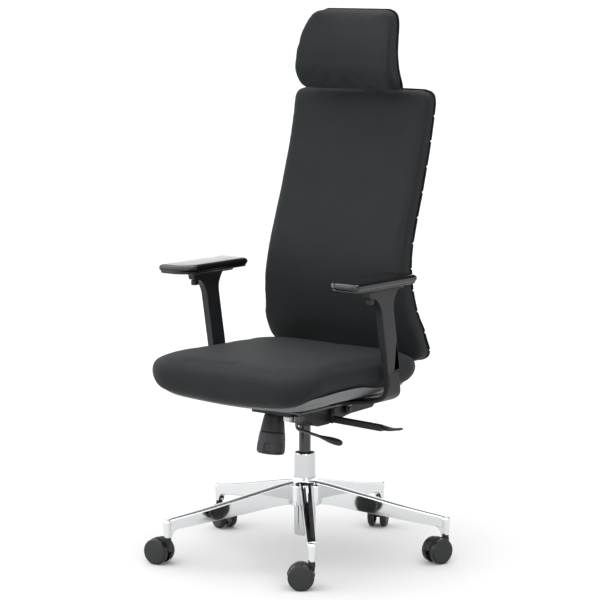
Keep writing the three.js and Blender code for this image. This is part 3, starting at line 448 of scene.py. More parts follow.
def leg_section(r, turn):
    """A leg's section: rounded top edges, nearly upright sides and an open hollow below."""
    half, top, bottom, wall, edge = LEG_WIDTH(r) / 2, LEG_TOP(r), LEG_BOTTOM(r), 3.5, 2.2
    foot = half - (top - bottom) * LEG_DRAFT
    outer = [(foot - 0.8, bottom), (foot, bottom + 0.8), (half, top - edge * 1.5)]
    outer += [(half - edge * (1 - math.cos(a)), top - edge * 1.5 + edge * 1.5 * math.sin(a))
              for a in (math.pi / 8, math.pi / 4, 3 * math.pi / 8)]
    outer += [(half - edge, top - 0.05), (half * 0.4, top + 0.35), (0, top + 0.45)]
    inner = [(foot - wall, bottom), (half - wall, top - wall - 2), (half - wall - 1.5, top - wall)]
    loop = outer + [(-a, b) for a, b in reversed(outer[:-1])]
    loop += [(-a, b) for a, b in inner] + inner[::-1]
    return [at(r * math.cos(turn) - a * math.sin(turn), r * math.sin(turn) + a * math.cos(turn), b)
            for a, b in loop]


def star_base():
    """The hub with its flared collar and lobes, five hollow legs and a castor socket at each tip."""
    hub = lathe([(25.4, 119), (36.5, 119), (38, 120.5), (38, 163), (37.4, 166), (35.5, 168.6), (32.5, 170.6),
                 (30.4, 173), (29.2, 176.5), (28.4, 181), (27.6, 182), (25.4, 182)], 96, lambda p: at(*p))
    shells = [hub]
    lobe = [(0, 119.5), (11.6, 119.5), (12.6, 120.5), (12.6, 164), (11.8, 166.2), (10, 167.2), (0, 167.4)]
    for k in range(LEGS):
        turn = math.radians(FIRST_LEG + 360 / LEGS * (k + 0.5))
        x, y = 36 * math.cos(turn), 36 * math.sin(turn)
        shells.append(lathe(lobe, 40, lambda p, x=x, y=y: at(x + p.x, y + p.y, p.z)))
    for k in range(LEGS):
        turn = math.radians(FIRST_LEG + 360 / LEGS * k)
        radii = [26 + (TIP_AT - 4 - 26) * j / 28 for j in range(29)]
        shells.append(loft([leg_section(r, turn) for r in radii]))
        cx, cy = TIP_AT * math.cos(turn), TIP_AT * math.sin(turn)
        socket = [(5.9, 63), (8.2, 63), (9.2, 63.8), (9.6, 66), (9.8, 78), (10.4, 86), (11.2, 92), (11.6, 98),
                  (11.4, 102), (10.4, 104.2), (8.8, 105.2), (0, 105.6), (0, 100), (5.9, 100)]
        shells.append(lathe(socket, 40, lambda p, cx=cx, cy=cy: at(cx + p.x, cy + p.y, p.z)))
        shells.append(web_under_tip(turn))
    return solid("star_base_casting", shells, ALUMINIUM, sharp=38)


def web_under_tip(turn):
    """The fillet that carries a leg's underside down into its socket."""
    outline = [Vector((TIP_AT - 24, 83)), Vector((TIP_AT - 17, 80)), Vector((TIP_AT - 12, 75)),
               Vector((TIP_AT - 9, 68)), Vector((TIP_AT - 8, 64)), Vector((TIP_AT + 2, 64)),
               Vector((TIP_AT + 2, 94)), Vector((TIP_AT - 24, 94))]

    def place(a, b, depth):
        return at(a * math.cos(turn) - depth * math.sin(turn), a * math.sin(turn) + depth * math.cos(turn), b)

    return slab(outline, -8.5, 8.5, place, edge=2)


show(star_base(), "base", "polished_aluminium", "star_base")

# ---- column and gas lift --------------------------------------------------------------------
COLUMN = [(22.4, 44), (23.6, 44), (25, 45.4), (25, 236.4), (24.6, 238.8), (23.9, 239.8), (22.9, 240),
          (22.5, 239.2), (22.5, 47), (22.4, 46)]
show(solid("column_tube", [lathe(COLUMN, 96, lambda p: at(*p))], CHROME), "base", "chromed_tube",
     "column_outer_tube")
BUSH = [(14.4, 182), (22.1, 182), (22.1, 236.8), (21.2, 238.2), (17, 239), (15.2, 238.4), (14.4, 237)]
show(solid("column_guide_ring", [lathe(BUSH, 72, lambda p: at(*p))], NYLON), "base", "black_nylon",
     "column_guide_bush")
ROD = [(0, 38), (4, 38), (5, 39), (5, 53.6), (9, 53.6), (9, 57.6), (5, 57.6), (5, 252), (11, 252), (11, 268),
       (0, 268)]
show(solid("lift_piston_rod", [lathe(ROD, 48, lambda p: at(*p))], BRIGHT_STEEL), "lift_rod", "bright_steel",
     "piston_rod")
GAS = [(5.3, 124), (12.6, 124), (14, 125.4), (14, 339), (13.2, 341.6), (12.4, 342), (4.3, 342), (4.3, 337),
       (11.8, 337), (11.8, 130), (5.3, 130)]
show(solid("gas_lift_cylinder", [lathe(GAS, 80, lambda p: at(*p))], BLACK_STEEL), "mechanism",
     "black_oxide_steel", "gas_cylinder")
PIN = [(0, 334), (4, 334), (4, 346), (3.2, 346.8), (0, 347)]
show(solid("gas_lift_button", [lathe(PIN, 32, lambda p: at(*p))], BRIGHT_STEEL), "mechanism", "bright_steel",
     "release_pin")
BEARING = [(5.3, 47.3), (14, 47.3), (14, 49.2), (12.6, 50.3), (14, 51.4), (14, 53.3), (5.3, 53.3)]
show(solid("ball_thrust_bearing", [lathe(BEARING, 48, lambda p: at(*p))], BRIGHT_STEEL), "base",
     "bright_steel", "thrust_bearing")

# ---- castors --------------------------------------------------------------------------------
TRAIL = 24.0
CASTOR_TURN = [-105.4, -63.1, -21.4, 187.3, 218.5]


def castor_place(number):
    """Turns a point of a castor, stem on Z and axle TRAIL along X, to its place under a leg."""
    leg = math.radians(FIRST_LEG + 360 / LEGS * number)
    turn = math.radians(CASTOR_TURN[number])

    def place(x, y, z):
        return at(TIP_AT * math.cos(leg) + x * math.cos(turn) - y * math.sin(turn),
                  TIP_AT * math.sin(leg) + x * math.sin(turn) + y * math.cos(turn), z)

    return place


def castor_roller(name, place, side):
    """A wheel: domed disc with a fine step at its rim, crowned tread and a hollow inner side."""
    tread = [(0, 13), (23, 13), (24.5, 8.6), (26, 8), (28.4, 8), (29.6, 8.8), (30, 10.4), (30, 17.5),
             (29.7, 19.4), (28.9, 20.9), (28, 21.6), (27.2, 21.8), (0, 21.8)]
    disc = [(0, 20.5), (26.6, 20.5), (27.3, 21.4), (27.3, 22.1), (26.7, 22.7), (25.2, 23.1), (18, 23.6),
            (8, 23.9), (0, 24)]

    def turned_place(p):
        return place(TRAIL + p.x, side * p.z, 30 + p.y)

    wheel = solid(name, [lathe(tread, 72, turned_place)], TREAD, sharp=40)
    cover = solid(name + "_disc", [lathe(disc, 72, turned_place)], CASTOR_DISC, sharp=40)
    return joined(name, wheel, cover)


def joined(name, *things):
    """Several objects made one, each keeping its material."""
    mesh = bpy.data.meshes.new(name)
    bm = bmesh.new()
    materials = []
    for thing in things:
        start = len(bm.faces)
        bm.from_mesh(thing.data)
        bm.faces.ensure_lookup_table()
        for face in bm.faces[start:]:
            own = thing.data.materials[face.material_index] if thing.data.materials else None
            if own not in materials:
                materials.append(own)
            face.material_index = materials.index(own)
    bm.to_mesh(mesh)
    bm.free()
    for material in materials:
        mesh.materials.append(material)
    for thing in things:
        bpy.data.objects.remove(thing)
    made = bpy.data.objects.new(name, mesh)
    scene.collection.objects.link(made)
    return made


def castor_fender(name, place):
    """The fender over the wheels, its rib down to the axle boss and the collar that turns on the stem."""
    def swept(radius, first, last, step):
        return [Vector((TRAIL + radius * math.cos(math.radians(a)), 30 + radius * math.sin(math.radians(a))))
                for a in range(first, last, step)]

    crescent = slab(swept(31.4, 6, 183, 6) + swept(23, 178, 2, -6), -7, 7,
                    lambda a, b, depth: place(a, depth, min(b, 62.4)), edge=1.2)
    collar = lathe([(5.6, 50), (7.6, 50), (8, 51), (8, 61.4), (7.2, 62.6), (5.6, 62.6)], 40,
                   lambda p: place(*p))
    rib = slab(rounded_outline([(-7, 58), (-7, 43), (14, 24), (30, 24), (33, 34), (20, 58)], 4), -5.8, 5.8,
               lambda a, b, depth: place(a, depth, b), edge=1)
    boss = lathe([(4.4, -7.4), (8, -7.4), (8.6, -6.8), (8.6, 6.8), (8, 7.4), (4.4, 7.4)], 40,
                 lambda p: place(TRAIL + p.x, p.z, 30 + p.y))
    return solid(name, [crescent, collar, rib, boss], NYLON, sharp=40)


STEM = [(0, 44), (4.4, 44), (5, 44.8), (5, 63), (5.5, 64), (5.5, 88), (4.5, 90), (4.5, 93), (5.5, 95),
        (4, 98), (0, 98)]
AXLE = [(0, -19.2), (3.6, -19.2), (4, -18.6), (4, 18.6), (3.6, 19.2), (0, 19.2)]
for number in range(LEGS):
    name = f"castor_{number + 1}"
    place = castor_place(number)
    show(castor_fender(name + "_fender", place), name, "castor_nylon", name + "_hood")
    stem = solid(name + "_pintle", [lathe(STEM, 32, lambda p: place(*p))], BRIGHT_STEEL)
    show(stem, name, "bright_steel", name + "_stem")
    axle = solid(name + "_spindle", [lathe(AXLE, 32, lambda p: place(TRAIL + p.x, p.z, 30 + p.y))],
                 BRIGHT_STEEL)
    show(axle, name + "_wheels", "bright_steel", name + "_axle")
    for side, word in ((1, "left"), (-1, "right")):
        roller = castor_roller(f"{name}_roller_{word}", place, side)
        show(roller, name + "_wheels", "castor_nylon", f"{name}_wheel_{word}")

# ---- tilt mechanism -------------------------------------------------------------------------
show(refined("mechanism_casting", "mechanism_housing", POWDER_BLACK, 0.9), "mechanism", "black_casting",
     "mechanism_housing")
PIVOTS = {"front": ((-40, 348), 58.3), "rear": ((88, 337), 68.8)}
for word, ((y, z), half) in PIVOTS.items():
    head = [(0, -half), (5.4, -half), (6.6, -half + 1), (6.6, -half + 3), (5, -half + 3), (5, half - 3),
            (6.6, half - 3), (6.6, half - 1), (5.4, half), (0, half)]
    pin = solid(f"{word}_pivot_axle", [lathe(head, 40, lambda p: at(p.z, y + p.x, z + p.y))], BLACK_ZINC)
    show(pin, "mechanism", "bright_steel", f"{word}_pivot_pin")
KNOB_LEAN = math.radians(9)


def on_knob(p):
    """A point of the tension knob, its axis on Z, at its place under the housing's front."""
    return at(p[0], -112 + p[1] * math.cos(KNOB_LEAN) + p[2] * math.sin(KNOB_LEAN),
              356 - p[1] * math.sin(KNOB_LEAN) + p[2] * math.cos(KNOB_LEAN))


def tension_knob():
    """A flaring grip with six thumb pockets, a moulded seam line and its screw."""
    radius_at = curve_through([(-101, 24), (-100, 28.6), (-98, 31), (-95, 32.4), (-92, 32.8), (-52, 29.6),
                               (-50.4, 29), (-49.6, 27.4)])
    heights = [-101 + 1.2 * k for k in range(6)] + [-95 + 45.4 * k / 46 for k in range(47)]
    sides = 160
    rows = []
    for z in heights:
        row = []
        for k in range(sides):
            angle = 2 * math.pi * k / sides
            off = (angle - math.radians(20)) % (math.pi / 3) - math.pi / 6
            wide = 1 - ease(abs(off), 0.2, 0.26)
            tall = ease(z, -96, -93.5) * (1 - ease(z, -77, -74))
            lip = 0.5 * math.exp(-((z + 70.5) / 1.0) ** 2)
            r = radius_at(z) - 3.6 * wide * tall - lip
            row.append(on_knob((r * math.cos(angle), r * math.sin(angle), z)))
        rows.append(row)
    screw = lathe([(0, -62), (6, -62), (6, 3.4), (5.4, 4), (0, 4)], 32, on_knob)
    return solid("tension_knob_grip", [loft(rows), screw], GRIP_NYLON, sharp=50)


show(tension_knob(), "tension_knob", "black_nylon", "tension_knob")
SLEEVE = [(18, -49), (28, -49), (28.6, -48.2), (27.8, -42), (25.6, -28), (23.2, -14), (21.5, -10),
          (6.3, -10), (6.3, -13), (18, -13)]
show(solid("knob_spring_cup", [lathe(SLEEVE, 80, on_knob)], NYLON, sharp=30), "mechanism", "black_nylon",
     "tension_knob_sleeve")


# ---- grown pieces: what repeats or follows a path -------------------------------------------
def new_tree(name, inputs):
    """A geometry node tree with a Geometry socket each way and the named inputs."""
    tree = bpy.data.node_groups.new(name, "GeometryNodeTree")
    tree.interface.new_socket("Geometry", in_out="INPUT", socket_type="NodeSocketGeometry")
    for word, kind in inputs:
        tree.interface.new_socket(word, in_out="INPUT", socket_type="NodeSocket" + kind)
    tree.interface.new_socket("Geometry", in_out="OUTPUT", socket_type="NodeSocketGeometry")
    return tree, tree.nodes.new("NodeGroupInput"), tree.nodes.new("NodeGroupOutput")


def grown(name, tree, values, mesh=None, sharp=35):
    """The mesh that a tree makes, as a plain object."""
    thing = bpy.data.objects.new(name, mesh or bpy.data.meshes.new(name))
    scene.collection.objects.link(thing)
    step = thing.modifiers.new("grow", "NODES")
    step.node_group = tree
    for item in tree.interface.items_tree:
        if item.in_out == "INPUT" and item.name in values:
            step[item.identifier] = values[item.name]
    baked(thing)
    for polygon in thing.data.polygons:
        polygon.use_smooth = True
    thing.data.set_sharp_from_angle(angle=math.radians(sharp))
    thing.data.name = name
    return thing


def coil_tree():
    """A coil spring: a helix swept with round wire."""
    tree, given, out = new_tree("coil_spring", [("Radius", "Float"), ("Wire", "Float"), ("Height", "Float"),
                                                ("Turns", "Float"), ("Material", "Material")])
    helix = node(tree, "GeometryNodeCurveSpiral", [("Start Radius", given, "Radius"),
                 ("End Radius", given, "Radius"), ("Height", given, "Height"), ("Rotations", given, "Turns")],
                 Resolution=28)
    wire = node(tree, "GeometryNodeCurvePrimitiveCircle", [("Radius", given, "Wire")], Resolution=12)
    coil = node(tree, "GeometryNodeCurveToMesh",
                [("Curve", helix, "Curve"), ("Profile Curve", wire, "Curve")])
    coil.inputs["Fill Caps"].default_value = True
    real = node(tree, "GeometryNodeRealizeInstances", [("Geometry", coil, "Mesh")])
    painted = node(tree, "GeometryNodeSetMaterial", [("Geometry", real, "Geometry"),
                   ("Material", given, "Material")])
    tree.links.new(painted.outputs["Geometry"], out.inputs["Geometry"])
    return tree


def row_tree():
    """Stitches at even steps along a path: small rounded bars laid along it."""
    tree, given, out = new_tree("stitches_along_seam", [("Pitch", "Float"), ("Thick", "Float"),
                                                        ("Material", "Material")])
    path = node(tree, "GeometryNodeMeshToCurve", [("Mesh", given, "Geometry")])
    steps = node(tree, "GeometryNodeResampleCurve", [("Curve", path, "Curve"), ("Length", given, "Pitch")],
                 mode="LENGTH")
    way = node(tree, "GeometryNodeInputTangent")
    turned = node(tree, "FunctionNodeAlignRotationToVector", [("Vector", way, "Tangent")], axis="X")
    bead = node(tree, "GeometryNodeMeshUVSphere", [("Radius", given, "Thick")], Segments=8, Rings=5)
    long = node(tree, "GeometryNodeTransform", [("Geometry", bead, "Mesh")], Scale=(3.6, 1.0, 0.8))
    copies = node(tree, "GeometryNodeInstanceOnPoints", [("Points", steps, "Curve"),
                  ("Instance", long, "Geometry"), ("Rotation", turned, "Rotation")])
    real = node(tree, "GeometryNodeRealizeInstances", [("Geometry", copies, "Instances")])
    painted = node(tree, "GeometryNodeSetMaterial", [("Geometry", real, "Geometry"),
                   ("Material", given, "Material")])
    tree.links.new(painted.outputs["Geometry"], out.inputs["Geometry"])
    return tree


STITCHES = row_tree()


def stitched(name, points, pitch_mm, material, closed=True):
    """A row of stitches along a path of points in metres."""
    mesh = bpy.data.meshes.new(name + "_seam")
    edges = [(k, k + 1) for k in range(len(points) - 1)] + ([(len(points) - 1, 0)] if closed else [])
    mesh.from_pydata([tuple(p) for p in points], edges, [])
    made = grown(name, STITCHES, {"Pitch": pitch_mm * MM, "Thick": 0.42 * MM, "Material": material}, mesh)
    made.data.materials.clear()
    made.data.materials.append(material)
    return made


def scatter_tree():
    """A copy of a small piece at every point, its Z turned to the point's facing."""
    tree, given, out = new_tree("set_at_points", [("Piece", "Object"), ("Material", "Material")])
    facing = node(tree, "GeometryNodeInputNamedAttribute", data_type="FLOAT_VECTOR", Name="facing")
    turned = node(tree, "FunctionNodeAlignRotationToVector", [("Vector", facing, "Attribute")], axis="Z")
    piece = node(tree, "GeometryNodeObjectInfo", [("Object", given, "Piece")])
    copies = node(tree, "GeometryNodeInstanceOnPoints", [("Points", given, "Geometry"),
                  ("Instance", piece, "Geometry"), ("Rotation", turned, "Rotation")])
    real = node(tree, "GeometryNodeRealizeInstances", [("Geometry", copies, "Instances")])
    painted = node(tree, "GeometryNodeSetMaterial", [("Geometry", real, "Geometry"),
                   ("Material", given, "Material")])
    tree.links.new(painted.outputs["Geometry"], out.inputs["Geometry"])
    return tree


SCATTER = scatter_tree()


def set_at(name, unit, places, material):
    """Copies of a unit piece at (point, facing) places, as one object."""
    mesh = bpy.data.meshes.new(name + "_points")
    mesh.from_pydata([tuple(p) for p, _ in places], [], [])
    facing = mesh.attributes.new("facing", "FLOAT_VECTOR", "POINT")
    for k, (_, way) in enumerate(places):
        facing.data[k].vector = way.normalized()
    made = grown(name, SCATTER, {"Piece": unit, "Material": material}, mesh)
    made.data.materials.clear()
    made.data.materials.append(material)
    return made


def coil(name, material):
    made = grown(name, coil_tree(), {"Radius": 14.8 * MM, "Wire": 2.1 * MM, "Height": 30 * MM, "Turns": 4.5,
                                     "Material": material})
    for vertex in made.data.vertices:
        x, y, z = vertex.co / MM
        vertex.co = on_knob((x, y, z - 46))
    return made


show(coil("recline_spring_coil", BRIGHT_STEEL), "mechanism", "bright_steel", "tilt_spring")


def screw_head(radius=3.6, height=2.2):
    """A round socket-headed screw about Z, its seat at zero, in metres."""
    profile = [(0, -1.5), (radius * 0.6, -1.5), (radius * 0.6, 0), (radius, 0), (radius, height * 0.5),
               (radius * 0.86, height * 0.86), (radius * 0.6, height), (radius * 0.45, height),
               (radius * 0.42, height * 0.3), (0, height * 0.3)]
    thing = solid("screw_unit", [lathe(profile, 12, lambda p: p * MM)], BRIGHT_STEEL)
    return thing


SCREW = screw_head()

# ---- levers ---------------------------------------------------------------------------------
def bent(points, bend=9):
    """A path in millimetres through points with its corners rounded."""
    made = [Vector(points[0])]
    for before, here, after in zip(points, points[1:], points[2:]):
        here = Vector(here)
        start = here + (Vector(before) - here).normalized() * bend
        end = here + (Vector(after) - here).normalized() * bend
        made += [start * (1 - t) ** 2 + here * 2 * t * (1 - t) + end * t * t
                 for t in (k / 8 for k in range(9))]
    made.append(Vector(points[-1]))
    return made


rod_path = [at(*p) for p in bent([(48, -107, 352), (62, -108, 352), (63.6, -110, 320), (134, -107, 309.4)])]
show(solid("height_lever_bar", [tube_along(rod_path, lambda t: 3.6)], BLACK_STEEL), "height_lever",
     "black_oxide_steel", "height_lever_rod")


def lever_grip():
    """An oval paddle grip with rows of raised dots for the fingers."""
    turn = Matrix.Rotation(math.radians(2), 4, "Z") @ Matrix.Rotation(math.radians(98.5), 4, "Y")
    start = Vector((129, -107.2, 310.2))
    radius_at = curve_through([(0, 4.2), (1, 4.5), (6, 5.2), (24, 8), (42, 9.4), (52, 9.1), (58, 7.6),
                               (61, 5.2), (62.2, 2.6), (62.5, 0.01)])

    def place(p):
        return at(*(start + turn @ Vector((p.x * 0.8, p.y, p.z))))

    heights = [0, 0.5, 1, 2, 4] + [4 + 54 * k / 40 for k in range(1, 41)] + [59, 60, 61, 61.8, 62.3, 62.5]
    shell = lathe([(0, 0)] + [(radius_at(h), h) for h in heights], 40, place)
    dots = []
    for row in range(6):
        for column in range(-2, 3):
            height = 25 + row * 5
            for face in (0, math.pi):
                angle = face + column * 0.36
                r = radius_at(height) - 0.5
                spot = Vector((r * math.cos(angle), r * math.sin(angle), height))
                dots.append(lathe([(0, -1.2), (1.0, -0.6), (1.2, 0), (1.0, 0.6), (0, 1.2)], 8,
                                  lambda p, spot=spot: place(spot + p)))
    return solid("height_lever_paddle", [shell] + dots, NYLON, sharp=50)


show(lever_grip(), "height_lever", "black_nylon", "height_lever_grip")


def tilt_lever():
    """A flat blade with bevelled edges on a cranked root, ending in a thin upturned paddle."""
    rows = []
    for k in range(61):
        t = k / 60
        x = 59 + 199 * t
        paddle = ease(t, 0.7, 0.82)
        middle = 321 - 5 * min(t, 0.78) + 4 * ease(t, 0.84, 1)
        half_height = lerp(8, 2, paddle)
        half_depth = lerp(5.5, 14, paddle) * (1 - 0.35 * ease(t, 0.93, 1)) * (1 - 0.3 * ease(t, 0.985, 1))
        c = min(half_height, half_depth) * 0.45
        section = [(-half_depth, -half_height + c), (-half_depth + c, -half_height),
                   (half_depth - c, -half_height), (half_depth, -half_height + c),
                   (half_depth, half_height - c), (half_depth - c, half_height),
                   (-half_depth + c, half_height), (-half_depth, half_height - c)]
        rows.append([at(x, 30 + a, middle + b) for a, b in section])
    arm = slab(rounded_outline([(21, 352), (39, 352), (39, 316), (21, 311)], 4), 58.4, 64.6,
               lambda a, b, depth: at(depth, a, b), edge=1.2)
    stub = lathe([(0, 44), (4, 44), (4, 58), (7.6, 58), (7.6, 67.4), (6.8, 68.2), (0, 68.2)], 32,
                 lambda p: at(p.z, 30 + p.x, 342 + p.y))
    return bevelled(solid("tilt_lever_blade", [loft(rows), arm, stub], NYLON, sharp=25), 0.5, 2, 25)


show(tilt_lever(), "tilt_lever", "black_nylon", "tilt_lever")


def lever_saddle():
    """A bright plated strap bent round the housing's front corner, beside the height lever's bar."""
    outline = [Vector(p) for p in ((41, -130), (57, -130), (57, -98), (55.6, -98), (55.6, -128.4),
                                   (41, -128.4))]
    return solid("lever_saddle_strap", [slab(outline, 338, 348, lambda a, b, depth: at(a, b, depth),
                                             edge=0.3)],
                 BRIGHT_STEEL)


show(lever_saddle(), "mechanism", "bright_steel")

# ---- seat -----------------------------------------------------------------------------------
show(refined("seat_carrier_plate", "seat_plate", BLACK_STEEL, 0.6), "seat", "black_oxide_steel", "seat_plate")
SEAT_HALF_WIDTH, SEAT_FRONT, SEAT_REAR, SEAT_TOP, SEAT_CORNER = 246, -318, 167, 489, 100
SEAT_MIDDLE = (SEAT_FRONT + SEAT_REAR) / 2
SEAT_HALF_DEPTH = (SEAT_REAR - SEAT_FRONT) / 2
PAN_INSET, PAN_BELLY, PAN_THICK = 14, 373, 4


def rim_walk(straight=14, arc=12):
    """Steps round a rounded rectangle: ("arc", angle, quarter) or ("line", share along it, quarter)."""
    walk = []
    for quarter in range(4):
        base = quarter * math.pi / 2
        for k in range(arc):
            walk.append(("arc", base + math.pi / 2 * k / arc, quarter))
        for k in range(straight):
            walk.append(("line", k / straight, quarter))
    return walk


SIGNS = [(1, 1), (-1, 1), (-1, -1), (1, -1)]


def rim(half_width, half_depth, corner, walk):
    """Points round a rounded rectangle, the same count whatever its size; corner is one radius or four."""
    corners = [max(c, 0.5) for c in (corner if isinstance(corner, (list, tuple)) else [corner] * 4)]

    def on_arc(quarter, angle):
        sx, sy = SIGNS[quarter]
        r = corners[quarter]
        return Vector((sx * (half_width - r) + r * math.cos(angle),
                       sy * (half_depth - r) + r * math.sin(angle)))

    points = []
    for kind, value, quarter in walk:
        if kind == "arc":
            points.append(on_arc(quarter, value))
        else:
            end = (quarter + 1) * math.pi / 2
            points.append(on_arc(quarter, end).lerp(on_arc((quarter + 1) % 4, end), value))
    return points


WALK = rim_walk()


def flange(p):
    """Height of the pan's upright side flange: tall at the front of each side, none at the front edge."""
    u, v = p.x / SEAT_HALF_WIDTH, p.y / SEAT_HALF_DEPTH
    return 10 * ease(abs(u), 0.72, 0.93) * ease(v, -0.97, -0.7) * (1 - 0.85 * ease(v, -0.6, 0.35))


def tucked(p):
    """How far the pan's rim stands in from the cushion, along the front and round the rear."""
    v = p.y / SEAT_HALF_DEPTH
    return 26 * ease(-v, 0.72, 0.98) + 16 * ease(v, -0.1, 0.35)


def pan_height(ring, p):
    """Height of the pan's underside: ring is 0 at the middle and 1 at the rim."""
    u, v = p.x / SEAT_HALF_WIDTH, p.y / SEAT_HALF_DEPTH
    side = abs(u) / max(math.hypot(u, v), 1e-6)
    front_share = ease(-v / max(math.hypot(u, v), 1e-6), -0.5, 0.5)
    low = lerp(38, 28, front_share)
    return PAN_BELLY + lerp(low, 50, side * side) * ring ** 3.2


def seat_pan():
    """The dished plastic pan under the cushion, its rim rounded, with four feet on the plate."""
    outline = rim(SEAT_HALF_WIDTH - PAN_INSET, SEAT_HALF_DEPTH - PAN_INSET, SEAT_CORNER - PAN_INSET, WALK)
    rings = [0.02, 0.12, 0.25, 0.38, 0.5, 0.6, 0.7, 0.78, 0.85, 0.91, 0.96, 1.0]
    rows = []


    def row(share, lift):
        """A ring of the pan: share 1 is the rim; lift is its height above the underside."""
        made = []
        for p in outline:
            inner = 1 - tucked(p) / p.length
            made.append(at(p.x * share * inner, SEAT_MIDDLE + p.y * share * inner,
                           pan_height(share * inner, p) + lift(p)))
        return made

    rows = [row(ring, lambda p: 0) for ring in rings]
    rows.append(row(1.005, lambda p: 1.8))
    rows += [row(1.007, lambda p, k=k: 1.8 + (1.4 + flange(p)) * k) for k in (0.33, 0.66, 1.0)]
    rows.append(row(1.003, lambda p: 4.2 + flange(p)))
    rows.append(row(0.99, lambda p: 4.0 + flange(p)))
    rows += [row(ring * 0.985, lambda p: PAN_THICK - 0.3) for ring in reversed(rings)]
    shells = [loft(rows)]
    for sx in (-84, 84):
        for sy, top in ((-118, 382), (118, 396)):
            foot = [(0, 367.3), (8.4, 367.3), (9, 368), (9, top), (0, top)]
            shells.append(lathe(foot, 28, lambda p, sx=sx, sy=sy: at(sx + p.x, sy + p.y, p.z)))
    return solid("seat_pan_moulding", shells, GREY_PP, sharp=40)


show(seat_pan(), "seat", "grey_plastic", "seat_pan")


# ---- soft pieces ----------------------------------------------------------------------------
def box_map(mesh):
    """A UV map in metres, each face laid flat along the axis it faces most, for the weave."""
    layer = mesh.uv_layers.new(name="cloth")
    for polygon in mesh.polygons:
        normal = polygon.normal
        k = max(range(3), key=lambda i: abs(normal[i]))
        a, b = ((1, 2), (0, 2), (0, 1))[k]
        for loop in polygon.loop_indices:
            co = mesh.vertices[mesh.loops[loop].vertex_index].co
            layer.data[loop].uv = (co[a], co[b])
    return mesh


def stuffed(thing, voxel_mm, pressure, cap, frames=20):
    """Swells a soft piece with a short cloth simulation.

    cap(place) is how far, in metres, a point may move.
    """
    remesh = thing.modifiers.new("even", "REMESH")
    remesh.mode = "VOXEL"
    remesh.voxel_size = voxel_mm * MM
    baked(thing)
    smooth = thing.modifiers.new("calm", "SMOOTH")
    smooth.factor = 0.5
    smooth.iterations = 6
    baked(thing)
    rest = [v.co.copy() for v in thing.data.vertices]
    cloth = thing.modifiers.new("swell", "CLOTH")
    cloth.settings.use_pressure = True
    cloth.settings.uniform_pressure_force = pressure
    cloth.settings.effector_weights.gravity = 0
    cloth.settings.quality = 5
    cloth.settings.tension_stiffness = 25
    cloth.settings.compression_stiffness = 25
    cloth.settings.bending_stiffness = 1.5
    cloth.point_cache.frame_start, cloth.point_cache.frame_end = 1, frames
    for step in range(1, frames + 1):
        scene.frame_set(step)
    baked(thing)
    scene.frame_set(1)
    for vertex, start in zip(thing.data.vertices, rest):
        move = vertex.co - start
        most = cap(start)
        if move.length > most:
            move.length = most
        vertex.co = start + move
    smooth = thing.modifiers.new("calm", "SMOOTH")
    smooth.factor = 0.5
    smooth.iterations = 3
    finer = thing.modifiers.new("finer", "SUBSURF")
    finer.levels = finer.render_levels = 1
    baked(thing)
    for polygon in thing.data.polygons:
        polygon.use_smooth = True
    box_map(thing.data)
    return thing


def seat_cushion():
    """A foam cushion with a full front edge that rolls under, swelling past the pan."""
    inset_at = curve_through([(-1, PAN_INSET + 4), (-0.6, 6), (-0.1, 0), (0.3, 0.5), (0.65, 4.5), (0.88, 12),
                              (1, 21)])
    rows = []

    def edge_row(w):
        inset = inset_at(w) + 1.5
        return rim(SEAT_HALF_WIDTH - inset, SEAT_HALF_DEPTH - inset, SEAT_CORNER - 20 - inset * 0.6, WALK)

    def top_height(x, y):
        u, v = x / SEAT_HALF_WIDTH, (y - SEAT_MIDDLE) / SEAT_HALF_DEPTH
        crown = 3 * (1 - u * u) * (1 - v * v)
        return SEAT_TOP - 1 - 5 * (v + 1) - abs(u) ** 4 - 9 * max(0.0, -v) ** 4 + crown

    def under(ring, p):
        """Height of the cushion's underside: on the pan, over its side flange, lower at its tucked rim."""
        outer = ease(ring, 0.86, 1)
        return pan_height(ring, p) + PAN_THICK + 0.5 + outer * (flange(p) - 0.15 * tucked(p))

    base = edge_row(-1)
    for ring in (0.02, 0.15, 0.3, 0.45, 0.6, 0.72, 0.83, 0.9, 0.95, 1.0):
        rows.append([at(p.x * ring, SEAT_MIDDLE + p.y * ring, under(ring, p)) for p in base])
    for k in range(1, 15):
        w = -1 + 2 * k / 14
        share = (w + 1) / 2
        row = []
        for p in edge_row(w):
            bottom = under(1, p)
            top = top_height(p.x, SEAT_MIDDLE + p.y)
            row.append(at(p.x, SEAT_MIDDLE + p.y, lerp(bottom, top - 3 * ease(share, 0.8, 1), share)))
        rows.append(row)
    last = edge_row(1)
    for ring in (0.97, 0.93, 0.88, 0.8, 0.68, 0.54, 0.4, 0.25, 0.12, 0.02):
        rows.append([at(p.x * ring, SEAT_MIDDLE + p.y * ring,
                        top_height(p.x * ring, SEAT_MIDDLE + p.y * ring) - 3 * ease(ring, 0.84, 1))
                     for p in last])
    thing = solid("seat_cushion_cover", [loft(rows)], FABRIC, sharp=180)
    floor_z = at(0, 0, PAN_BELLY + 34).z

    def cap(place):
        return lerp(0.2, 5.0, ease(place.z, floor_z, floor_z + 0.03)) * MM

    return stuffed(thing, 6, 4, cap)


seat_cover = show(seat_cushion(), "seat", "charcoal_fabric", "seat_cushion")


def surface_tree(thing):
    """A search tree of a piece's surface."""
    return BVHTree.FromPolygons([v.co for v in thing.data.vertices],
                                [p.vertices for p in thing.data.polygons])


